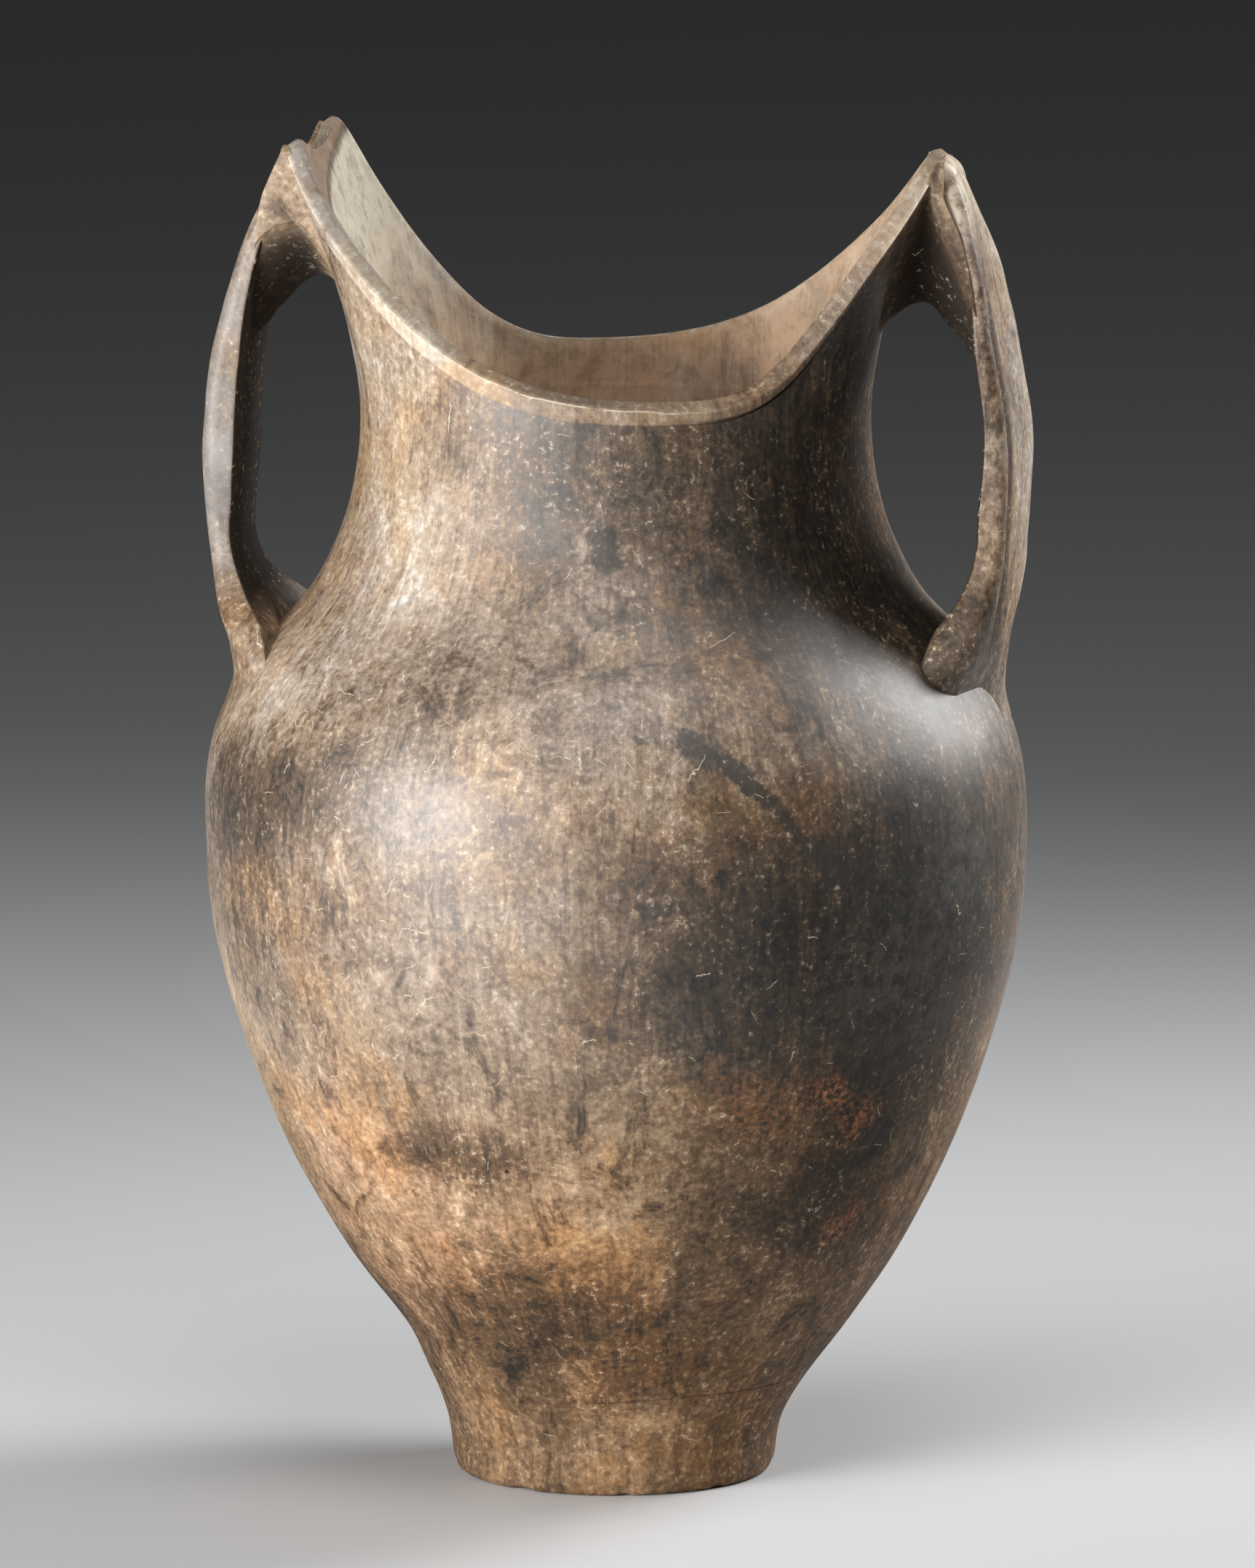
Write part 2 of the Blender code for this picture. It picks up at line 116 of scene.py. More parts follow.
def add_object(name: str, data: bpy.types.ID) -> bpy.types.Object:
    """New object, linked to the scene.

    Args:
        name: name of the object.
        data: its mesh, light or camera.

    Returns:
        The object.
    """
    made = bpy.data.objects.new(name, data)
    bpy.context.scene.collection.objects.link(made)
    return made


def lump_noise(points: Array, cell: float, seed: float) -> Array:
    """Smooth value noise between -1 and 1 on a cubic lattice.

    Each lattice corner has a value from the fraction of a large sine, and the eight corners round a
    point are blended with quintic weights.

    Args:
        points: places, with x, y and z on the last axis.
        cell: edge of a lattice cell, in the same unit.
        seed: number that picks one noise among many.

    Returns:
        The noise at each place.
    """
    scaled = points / cell
    corner = np.floor(scaled)
    part = scaled - corner
    weight = part**3 * (part * (part * 6 - 15) + 10)
    total = np.zeros(points.shape[:-1])
    for offset in np.ndindex(2, 2, 2):
        at = corner + np.array(offset)
        spun = np.sin(at @ np.array([127.1, 311.7, 74.7]) + seed * 19.19) * 43758.5453
        value = 2 * (spun - np.floor(spun)) - 1
        share = np.where(np.array(offset) == 1, weight, 1 - weight).prod(axis=-1)
        total += value * share
    return total


@dataclass(frozen=True)
class WallForm:
    """Sizes of the clay wall in metres, and the surface that they describe.

    The section is a circle up to the neck. Above it turns into an oval with two flat ends, the horned
    ends of the mouth. Angles run from +X, the right end, towards +Y, the back.
    """

    body: Stations = (
        (0.0, 0.0465), (0.016, 0.0491), (0.037, 0.0600), (0.0695, 0.0824), (0.1215, 0.1070),
        (0.182, 0.1203), (0.228, 0.1152), (0.246, 0.1050), (0.262, 0.0905), (0.2775, 0.0820),
        (0.314, 0.0746),
    )
    lean: Stations = (
        (0.0, -0.0004), (0.016, -0.0002), (0.030, 0.0013), (0.044, 0.0034), (0.057, 0.0031),
        (0.070, 0.0026), (0.100, 0.0016), (0.130, 0.0008), (0.190, 0.0), (0.226, -0.0004),
        (0.260, 0.0), (0.420, 0.0),
    )
    lean_azimuth: float = 10.0
    neck_height: float = 0.314
    flare: tuple[float, float] = (0.340, 0.0783)
    horn_height: float = 0.3975
    left_reach: float = 0.0950
    right_reach: float = 0.1010
    mouth_depth: float = 0.0710
    end_skew: float = 0.070
    horn_angle: float = 20.0
    corner_sharpness: float = 16.0
    thickness: float = 0.0070
    rim_low: float = 0.3275
    right_horn_drop: float = 0.0055
    right_tilt: float = 0.0028
    left_tilt: float = 0.0013
    left_sag: float = 0.0075
    right_sag: float = -0.0006
    front_fall: float = 2.9
    back_fall: float = 2.45
    front_low_angle: float = -63.0
    back_low_angle: float = 107.0
    tip_rounding: float = 3.4
    tip_raise: float = 0.0030
    rim_thinning: float = 0.0014
    thinning_depth: float = 0.030

    def radius(self, z: Array) -> Array:
        """Outer radius of the round part of the wall."""
        return smooth_curve(z, self.body)

    def reach(self, z: Array, side: Side) -> Array:
        """Half length of the section towards one handle."""
        end = self.left_reach if side is Side.LEFT else self.right_reach
        return smooth_curve(z, self.body + (self.flare, (self.horn_height, end)))

    def depth(self, z: Array) -> Array:
        """Half depth of the section, front to back."""
        return smooth_curve(z, self.body + ((self.horn_height, self.mouth_depth),))

    def mouth_share(self, z: Array) -> Array:
        """How far the section has turned from round (0) to flat-ended (1)."""
        return ease(self.neck_height, self.horn_height, z)

    def inset(self, z: Array) -> Array:
        """Horizontal wall thickness: the thickness times the root of 1 plus the slope squared.

        Args:
            z: heights.

        Returns:
            Level distances from the outside to the inside.
        """
        step = 0.0005
        z = np.asarray(z, dtype=float)
        low = np.clip(z - step, 0.0, self.neck_height)
        high = np.clip(z + step, step, self.neck_height)
        slope = (self.radius(high) - self.radius(low)) / np.maximum(high - low, step)
        return self.thickness * np.sqrt(1 + slope**2)

    def flat_end(self, angle: Array) -> Array:
        """Cosine with its crest cut off flat: the cosine divided by a power mean of 1 and its size.

        Args:
            angle: angle round the axis, in radians.

        Returns:
            Values between -1 and 1, flat at both ends of the mouth.
        """
        cosine = np.cos(angle)
        crest = 1 / math.cos(math.radians(self.horn_angle))
        power = self.corner_sharpness
        cut = (1 + (crest * np.abs(cosine)) ** power) / (1 + crest**power)
        return cosine * cut ** (-1 / power)

    def smooth_points(self, angle: Array, z: Array, inset: Array) -> Array:
        """Points of the wall before the unevenness is added.

        x is the reach times a blend of the cosine and its flat-ended form, skewed a little by the sine,
        and y is the depth times the sine.

        Args:
            angle: angle round the axis, in radians.
            z: height.
            inset: distance in from the outside, level.

        Returns:
            Points, with x, y and z on the last axis.
        """
        angle, z, inset = np.broadcast_arrays(angle, z, inset)
        share = self.mouth_share(z)
        reach = np.where(np.cos(angle) < 0, self.reach(z, Side.LEFT), self.reach(z, Side.RIGHT))
        across = (1 - share) * np.cos(angle) + share * self.flat_end(angle)
        x = (reach - inset) * across * (1 - self.end_skew * share * np.sin(angle))
        y = (self.depth(z) - inset) * np.sin(angle)
        return np.stack([x, y, z], axis=-1)

    def uneven(self, points: Array) -> Array:
        """Points pushed in or out along the level radius, and leaning as the real pot does.

        The push is a sum of lumps of three sizes and of upright burnishing strokes, which are noise on
        a vertically stretched lattice. It fades out at the flat face under the foot.

        Args:
            points: points of any clay surface.

        Returns:
            The moved points.
        """
        flat = np.hypot(points[..., 0], points[..., 1])
        radial = points[..., :2] / np.maximum(flat, 1e-6)[..., None]
        drum = np.concatenate([radial * 0.11, points[..., 2:] / 7.0], axis=-1)
        lumps = (
            (points, 0.00055, 0.062), (points, 0.00026, 0.024), (points, 0.00007, 0.0085),
            (drum, 0.00013, 0.0080),
        )
        push = sum(size * lump_noise(at, cell, seed) for seed, (at, size, cell) in enumerate(lumps, 1))
        push *= ease(0.0, 0.006, points[..., 2]) * ease(0.004, 0.02, flat)
        shift = smooth_curve(np.clip(points[..., 2], 0.0, 0.42), self.lean)
        heading = math.radians(self.lean_azimuth)
        moved = points.copy()
        moved[..., 0] += radial[..., 0] * push + shift * math.cos(heading)
        moved[..., 1] += radial[..., 1] * push + shift * math.sin(heading)
        return moved

    def points(self, angle: Array, z: Array, inset: Array) -> Array:
        """Points of the finished, uneven wall."""
        return self.uneven(self.smooth_points(angle, z, inset))

    def end_height(self, side: Side) -> float:
        """Height of the rim at one end of the mouth."""
        return self.horn_height - (self.right_horn_drop if side is Side.RIGHT else 0.0)

    def end_angle(self, across: Array, side: Side) -> Array:
        """Angle at which the end of the mouth has a given y."""
        swing = np.arcsin(np.clip(across / self.mouth_depth, -0.9, 0.9))
        return swing if side is Side.RIGHT else math.pi - swing

    def sharp_rim(self, turn: Array) -> Array:
        """Height of the rim with pointed horns: a power of the way down to each low point.

        Args:
            turn: angle in degrees, between -180 and 180.

        Returns:
            Heights, with the dip of each flat end taken off and its tilt added.
        """
        at_back = turn > 0
        bow = np.where(at_back, self.back_fall, self.front_fall)
        low = np.where(at_back, self.back_low_angle, -self.front_low_angle)
        on_right = np.abs(turn) < low
        from_end = np.where(on_right, np.abs(turn), 180 - np.abs(turn))
        towards_back = np.sign(turn) * np.clip(from_end / self.horn_angle, 0, 1)
        right_end = self.end_height(Side.RIGHT) - self.right_tilt * towards_back
        end = np.where(on_right, right_end, self.end_height(Side.LEFT) + self.left_tilt * towards_back)
        span = np.where(on_right, low, 180 - low) - self.horn_angle
        fall = np.clip((from_end - self.horn_angle) / span, 0, 1)
        dip = np.where(on_right, self.right_sag, self.left_sag)
        sag = dip * np.clip(1 - (from_end / self.horn_angle) ** 2, 0, 1)
        return self.rim_low + (end - self.rim_low) * (1 - fall) ** bow - sag

    def rim(self, angle: Array) -> Array:
        """Height of the rim, with the horns rounded by a running mean over the angle.

        The mean takes in the heights on both sides with the weights of a bell curve, and the horns are
        raised by what the mean takes off them.

        Args:
            angle: angle round the axis, in radians.

        Returns:
            Height of the rim's crest at each angle.
        """
        offsets = np.linspace(-2.5, 2.5, 21)
        weights = np.exp(-0.5 * offsets**2)
        weights /= weights.sum()
        turn = np.degrees(np.asarray(angle))[..., None] + offsets * self.tip_rounding
        heights = self.sharp_rim(wrapped(turn)) @ weights
        share = np.clip((heights - self.rim_low) / (self.horn_height - self.rim_low), 0, 1)
        return heights + self.tip_raise * share**4

    def thinned(self, angle: Array, z: Array) -> Array:
        """Wall thickness, level, that gets less towards the rim."""
        near = 1 - ease(0.0, self.thinning_depth, self.rim(angle) - z)
        return self.inset(z) - self.rim_thinning * near

    def rim_stretch(self, angle: Array) -> Array:
        """Length of the rim's slope against its plan, which keeps the lip as wide on the slopes.

        Args:
            angle: angle round the axis, in radians.

        Returns:
            Factors: 1 on the level, and more on a slope.
        """
        step = math.radians(2.0)
        ahead = self.smooth_points(angle + step, self.rim(angle + step), self.thickness)
        behind = self.smooth_points(angle - step, self.rim(angle - step), self.thickness)
        run = ahead - behind
        return np.sqrt(1 + run[..., 2] ** 2 / (run[..., 0] ** 2 + run[..., 1] ** 2))


@dataclass
class Skin:
    """A closed clay surface: its points, what each is marked with, and its faces."""

    points: Array
    faces: list[Array]
    inner: Array
    shade: Array
    wear: Array

    @staticmethod
    def ring_faces(rows: int, columns: int, wrap_rows: bool) -> Array:
        """Quads of a grid whose columns close up, and whose rows may close up too.

        Args:
            rows: number of rows.
            columns: number of columns.
            wrap_rows: whether the last row joins the first.

        Returns:
            Four vertex numbers for each quad.
        """
        index = np.arange(rows * columns).reshape(rows, columns)
        index = np.concatenate([index, index[:, :1]], axis=1)
        if wrap_rows:
            index = np.concatenate([index, index[:1]], axis=0)
        return Skin.patch_faces(index)

    @staticmethod
    def patch_faces(index: Array) -> Array:
        """Quads of an open grid of vertex numbers."""
        corners = [index[:-1, :-1], index[:-1, 1:], index[1:, 1:], index[1:, :-1]]
        return np.stack([corner.ravel() for corner in corners], axis=-1)

    @staticmethod
    def fan_faces(ring: Array, centre: int, turned: bool) -> Array:
        """Triangles from a ring of vertices to a centre, in either winding.

        Args:
            ring: vertex numbers of the ring.
            centre: number of the middle vertex.
            turned: whether the winding is turned round.

        Returns:
            Three vertex numbers for each triangle.
        """
        ahead = np.roll(ring, -1)
        pair = (ahead, ring) if turned else (ring, ahead)
        return np.stack([*pair, np.full_like(ring, centre)], axis=-1)

    @classmethod
    def of(cls, points: Array, faces: list[Array], **marks: Array) -> "Skin":
        """Skin whose marks are nought where none are given.

        Args:
            points: vertices, one a row.
            faces: arrays of vertex numbers, one for each kind of face.
            marks: inner, shade or wear of each vertex, from 0 to 1.

        Returns:
            The skin.
        """
        blank = {name: np.zeros(len(points)) for name in MARKS}
        return cls(points, faces, **{**blank, **marks})

    @classmethod
    def hoop(cls, points: Array, **marks: Array) -> "Skin":
        """Skin of a grid that closes up round the axis and round its section, so that it has no ends."""
        rows, columns = points.shape[:2]
        return cls.of(points.reshape(-1, 3), [cls.ring_faces(rows, columns, True)], **marks)

    @classmethod
    def shell(cls, outer: Array, inside: Array) -> "Skin":
        """Hoop of a wall's two faces: the outside from the top down, then the inside from the foot up.

        Args:
            outer: grid of points of the outside.
            inside: grid of points of the inside.

        Returns:
            The skin, with the inside marked.
        """
        points = np.concatenate([outer, inside])
        inner = np.repeat(np.arange(len(points)) >= len(outer), points.shape[1]).astype(float)
        return cls.hoop(points, inner=inner)

    @classmethod
    def tube(cls, points: Array, **marks: Array) -> "Skin":
        """Skin of a grid whose columns close up, with a fan to the middle of its first and last row.

        Args:
            points: grid of points, a row for each section.
            marks: inner, shade or wear of each point, row by row, and then of the two middles.

        Returns:
            The skin.
        """
        rows, columns = points.shape[:2]
        flat = np.concatenate([points.reshape(-1, 3), points[[0, -1]].mean(axis=1)])
        first = np.arange(columns)
        faces = [
            cls.ring_faces(rows, columns, False),
            cls.fan_faces(first, len(flat) - 2, True),
            cls.fan_faces(first + (rows - 1) * columns, len(flat) - 1, False),
        ]
        return cls.of(flat, faces, **marks)

    def volume(self) -> float:
        """Signed volume: a sixth of the sum of the triple products of each fan triangle.

        Returns:
            Cubic metres, below nought where the faces are turned inwards.
        """
        total = 0.0
        for kind in self.faces:
            for last in range(2, kind.shape[1]):
                a, b, c = (self.points[kind[:, at]] for at in (0, last - 1, last))
                total += float(np.einsum("ij,ij->i", a, np.cross(b, c)).sum())
        return total / 6

    def object(self, name: str, sharp: float) -> bpy.types.Object:
        """Mesh object of the skin, with its faces turned outwards.

        Args:
            name: name of the piece.
            sharp: angle in degrees past which an edge stays crisp.

        Returns:
            The object, linked to the scene.
        """
        mesh = bpy.data.meshes.new(name)
        corners = [face for kind in self.faces for face in kind.tolist()]
        mesh.from_pydata(self.points.tolist(), [], corners)
        if self.volume() < 0:
            mesh.flip_normals()
        for label in MARKS:
            values = np.ascontiguousarray(getattr(self, label), dtype=np.float32)
            mesh.attributes.new(label, "FLOAT", "POINT").data.foreach_set("value", values)
        mesh.shade_smooth()
        mesh.set_sharp_from_angle(angle=math.radians(sharp))
        return add_object(name, mesh)


@dataclass(frozen=True)
class GridSpec:
    """How fine the skins are."""

    columns: int = 480
    rim_columns: int = 960
    outer_row: float = 0.0016
    inner_row: float = 0.0040
    least_outer: int = 8
    least_inner: int = 6
    slant: float = 1.2

    def rows(self, height: float) -> tuple[int, int]:
        """Rows on the outside and on the inside of a slanting wall of some height.

        Args:
            height: height of the wall.

        Returns:
            The two numbers of rows.
        """
        length = height * self.slant
        outer, inner = round(length / self.outer_row), round(length / self.inner_row)
        return max(self.least_outer, outer), max(self.least_inner, inner)


@dataclass
class ClayPiece:
    """What every clay piece has: the node that it stands for, and its material slot."""

    node: str
    slot: str

    def dress(self, made: bpy.types.Object, finishes: dict[str, bpy.types.Material]) -> None:
        """Give a piece its slot's finish, tie it to the frame's body and let it stand for its node.

        Args:
            made: the piece's object.
            finishes: the material of each slot.
        """
        material = finishes[self.slot]
        made.data.materials.append(material)
        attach(made, "root")
        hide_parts(self.node)
        log.info("piece %s: %d faces, finish %s", made.name, len(made.data.polygons), material.name)


@dataclass
class BaseDisc(ClayPiece):
    """Flat disc that the pot stands on, with a rounded, chipped lower edge."""

    node: str = "base_disc"
    slot: str = "foot_clay"
    edge_round: float = 0.0026
    middle: float = 0.0015
    flat_rows: int = 24
    edge_rows: int = 9
    side_rows: int = 7
    crease: float = 35.0
    chips: tuple[tuple[float, float, float], ...] = (
        (-117.0, 4.5, 0.0008), (-76.0, 2.6, 0.0006), (-38.0, 3.0, 0.0005),
        (64.0, 5.0, 0.0010), (150.0, 3.5, 0.0009),
    )

    def build(self, wall: WallForm, grid: GridSpec) -> bpy.types.Object:
        """Turned skin: a flat underside, a quarter-round edge, the side, and the floor inside.

        Args:
            wall: the wall that the disc closes.
            grid: how fine the skin is.

        Returns:
            The disc's object.
        """
        top = float(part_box(self.node)[1][2])
        foot = float(wall.radius(0.0))
        turn = np.linspace(0, math.pi / 2, self.edge_rows)[1:]
        under = np.linspace(self.middle, foot - self.edge_round, self.flat_rows)
        edge = foot - self.edge_round * (1 - np.sin(turn))
        side = np.linspace(self.edge_round, top, self.side_rows)[1:]
        floor = np.linspace(float(wall.radius(top)), self.middle, self.flat_rows)[1:]
        radius = np.concatenate([under, edge, wall.radius(side), floor])[:, None]
        rise = self.edge_round * (1 - np.cos(turn))
        height = np.concatenate([0 * under, rise, side, np.full_like(floor, top)])[:, None]
        angle = full_turn(grid.columns)
        turned = np.broadcast_arrays(radius * np.cos(angle), radius * np.sin(angle), height)
        points = self.chip(wall.uneven(np.stack(turned, axis=-1)), angle)
        inner = np.zeros(points.shape[:2])
        inner[1 - len(floor):] = 1.0
        return Skin.tube(points, inner=np.append(inner, [0.0, 1.0])).object(self.node, self.crease)

    def chip(self, points: Array, angle: Array) -> Array:
        """Points with the lower edge broken away: pulled in and up by a flat bell curve at each chip.

        Args:
            points: grid of points, a column for each angle.
            angle: angles of the columns, in radians.

        Returns:
            The moved points.
        """
        moved = points.copy()
        low = 1 - ease(0.0005, 0.0060, points[..., 2])
        edge = ease(0.036, 0.0455, np.hypot(points[..., 0], points[..., 1])) * low
        for heading, width, depth in self.chips:
            off = wrapped(np.degrees(angle) - heading)
            bite = depth * np.exp(-((off / width) ** 4)) * edge
            moved[..., 0] -= bite * np.cos(angle)
            moved[..., 1] -= bite * np.sin(angle)
            moved[..., 2] += bite * 0.55
        return moved


@dataclass
class WallCourse(ClayPiece):
    """One course of the turned wall, from joint to joint, with its inside."""

    low: float
    high: float
    drop: float = 0.0060
    crack_below: float = 0.0
    crack_above: float = 0.0
    rise_below: float = 0.0
    rise_above: float = 0.0
    crease: float = 30.0

    def crack(self, angle: Array) -> Array:
        """Share of the foot's hairline crack that is open: widest at the right of the front."""
        turn = wrapped(np.degrees(angle))
        return ease(-101.0, -62.0, turn) * (1 - ease(-30.0, -12.0, turn)) + 0.12

    def rise(self, angle: Array) -> Array:
        """How much of its rise the foot's joint has: it climbs towards the right of the front."""
        turn = wrapped(np.degrees(angle))
        return ease(-125.0, -50.0, turn) * (1 - ease(-15.0, 60.0, turn))

    def build(self, wall: WallForm, grid: GridSpec) -> bpy.types.Object:
        """Skin whose section runs down the outside and back up the inside, closed round the axis.

        Args:
            wall: the wall that the course is cut from.
            grid: how fine the skin is.

        Returns:
            The course's object.
        """
        angle = full_turn(grid.columns)
        opening, rise = self.crack(angle), self.rise(angle)
        top = self.high - self.crack_above * opening + self.rise_above * rise
        bottom = self.low + self.crack_below * opening + self.rise_below * rise
        drop_low = 0.0 if self.node == "foot_wall" else self.drop
        outer_rows, inner_rows = grid.rows(self.high - self.low)
        outer_z = top + (bottom - top) * np.linspace(0, 1, outer_rows)[:, None]
        height = self.high - self.drop - self.low + drop_low
        inner_z = (self.low - drop_low) + height * np.linspace(0, 1, inner_rows)[:, None]
        outer = wall.points(angle, outer_z, 0.0)
        inside = wall.points(angle, inner_z, wall.inset(inner_z))
        return Skin.shell(outer, inside).object(self.node, self.crease)


@dataclass
class Neck(ClayPiece):
    """Neck course, from the round shoulder joint up to the saddle edge under the lip."""

    node: str = "neck_wall"
    slot: str = "body_clay"
    joint: float = 0.270
    lip_height: float = 0.0065
    drop: float = 0.0060
    rows: int = 84
    crease: float = 30.0

    def build(self, wall: WallForm, grid: GridSpec) -> bpy.types.Object:
        """Skin lofted between the shoulder joint and the foot of the lip, outside and inside.

        Args:
            wall: the wall that the neck is cut from.
            grid: how fine the skin is.

        Returns:
            The neck's object.
        """
        angle = full_turn(grid.columns)
        top = wall.rim(angle) - self.lip_height * wall.rim_stretch(angle)
        share = np.linspace(0, 1, self.rows)[:, None]
        outer_z = top + (self.joint - top) * share
        low = self.joint - self.drop
        inner_z = low + (top - low) * share
        outer = wall.points(angle, outer_z, 0.0)
        inside = wall.points(angle, inner_z, wall.thinned(angle, inner_z))
        return Skin.shell(outer, inside).object(self.node, self.crease)


@dataclass
class RimLip(ClayPiece):
    """Strip along the mouth's edge: flush at the front left, rolled over and grooved at the right."""

    node: str = "rim_lip"
    slot: str = "rim_clay"
    height: float = 0.0065
    flush_bevel: float = 0.0021
    rolled_bevel: float = 0.0026
    crest_share: float = 0.70
    groove: float = 0.0008
    flush_overhang: float = 0.00004
    rolled_overhang: float = 0.0009
    flush_lap: float = 0.0008
    edge_round: float = 0.0005
    worn_station: int = 5
    top_stations: tuple[int, int] = (7, 12)
    inner_station: int = 12
    crease: float = 38.0

    def rolled(self, angle: Array) -> Array:
        """How far the strip is rolled over: nought at the front left and under the right strap."""
        turn = wrapped(np.degrees(angle))
        return ease(-95.0, -45.0, turn) * (1 - ease(60.0, 120.0, turn)) * ease(15.0, 32.0, np.abs(turn))

    def build(self, wall: WallForm, grid: GridSpec) -> bpy.types.Object:
        """Skin whose section goes up the outside, over the sloping top and down the inside.

        Args:
            wall: the wall that carries the strip.
            grid: how fine the skin is.

        Returns:
            The lip's object.
        """
        angle = full_turn(grid.rim_columns)
        roll = self.rolled(angle)
        stretch = wall.rim_stretch(angle)
        crest = wall.rim(angle)
        base = crest - self.height * stretch
        edge = crest - (self.flush_bevel + (self.rolled_bevel - self.flush_bevel) * roll) * stretch
        lumps = lump_noise(wall.smooth_points(angle, edge, 0.0), 0.007, 11.0)
        edge += (0.00030 + 0.00030 * roll) * lumps
        proud = self.flush_overhang + (self.rolled_overhang - self.flush_overhang) * roll
        ridge = wall.thinned(angle, crest) * self.crest_share
        tiny = self.edge_round * (1 + roll)
        foot = base - self.flush_lap * (1 - roll)
        inside = [crest - 0.0012 * stretch, base + (crest - base) * 0.45, base]
        stations = [
            (foot - 0.0003, 0.0004 + self.groove * roll),
            (foot + 0.0003, -self.flush_overhang + self.groove * roll),
            (base + (edge - base) * 0.30, -proud * 0.75),
            (base + (edge - base) * 0.65, -proud),
            (edge - tiny * 0.9, -proud),
            (edge - tiny * 0.25, -proud + tiny * 0.15),
            (edge + tiny * 0.20, -proud + tiny * 0.75),
            (edge + (crest - edge) * 0.36, ridge * 0.36),
            (edge + (crest - edge) * 0.66, ridge * 0.62),
            (edge + (crest - edge) * 0.90, ridge * 0.84),
            (crest, ridge),
            (crest - 0.0003 * stretch, wall.thinned(angle, crest) * 0.90),
            *((height, wall.thinned(angle, height)) for height in inside),
        ]
        z, inset = (np.stack(column) for column in zip(*stations))
        place = np.arange(len(stations))[:, None]
        first, last = self.top_stations
        flush = (1 - roll)[None, :]
        inner = np.repeat(place >= self.inner_station, len(angle)).astype(float)
        wear = np.where(place == self.worn_station, flush, 0.0).ravel()
        # on the lip's sloping top the shade mark gives darker clay along the flush part, and painted shade at
        # its inner edge
        shade = np.where((place >= first) & (place <= last), 0.5 * flush, 0.0).ravel()
        skin = Skin.hoop(wall.points(angle, z, inset), inner=inner, wear=wear, shade=shade)
        return skin.object(self.node, self.crease)


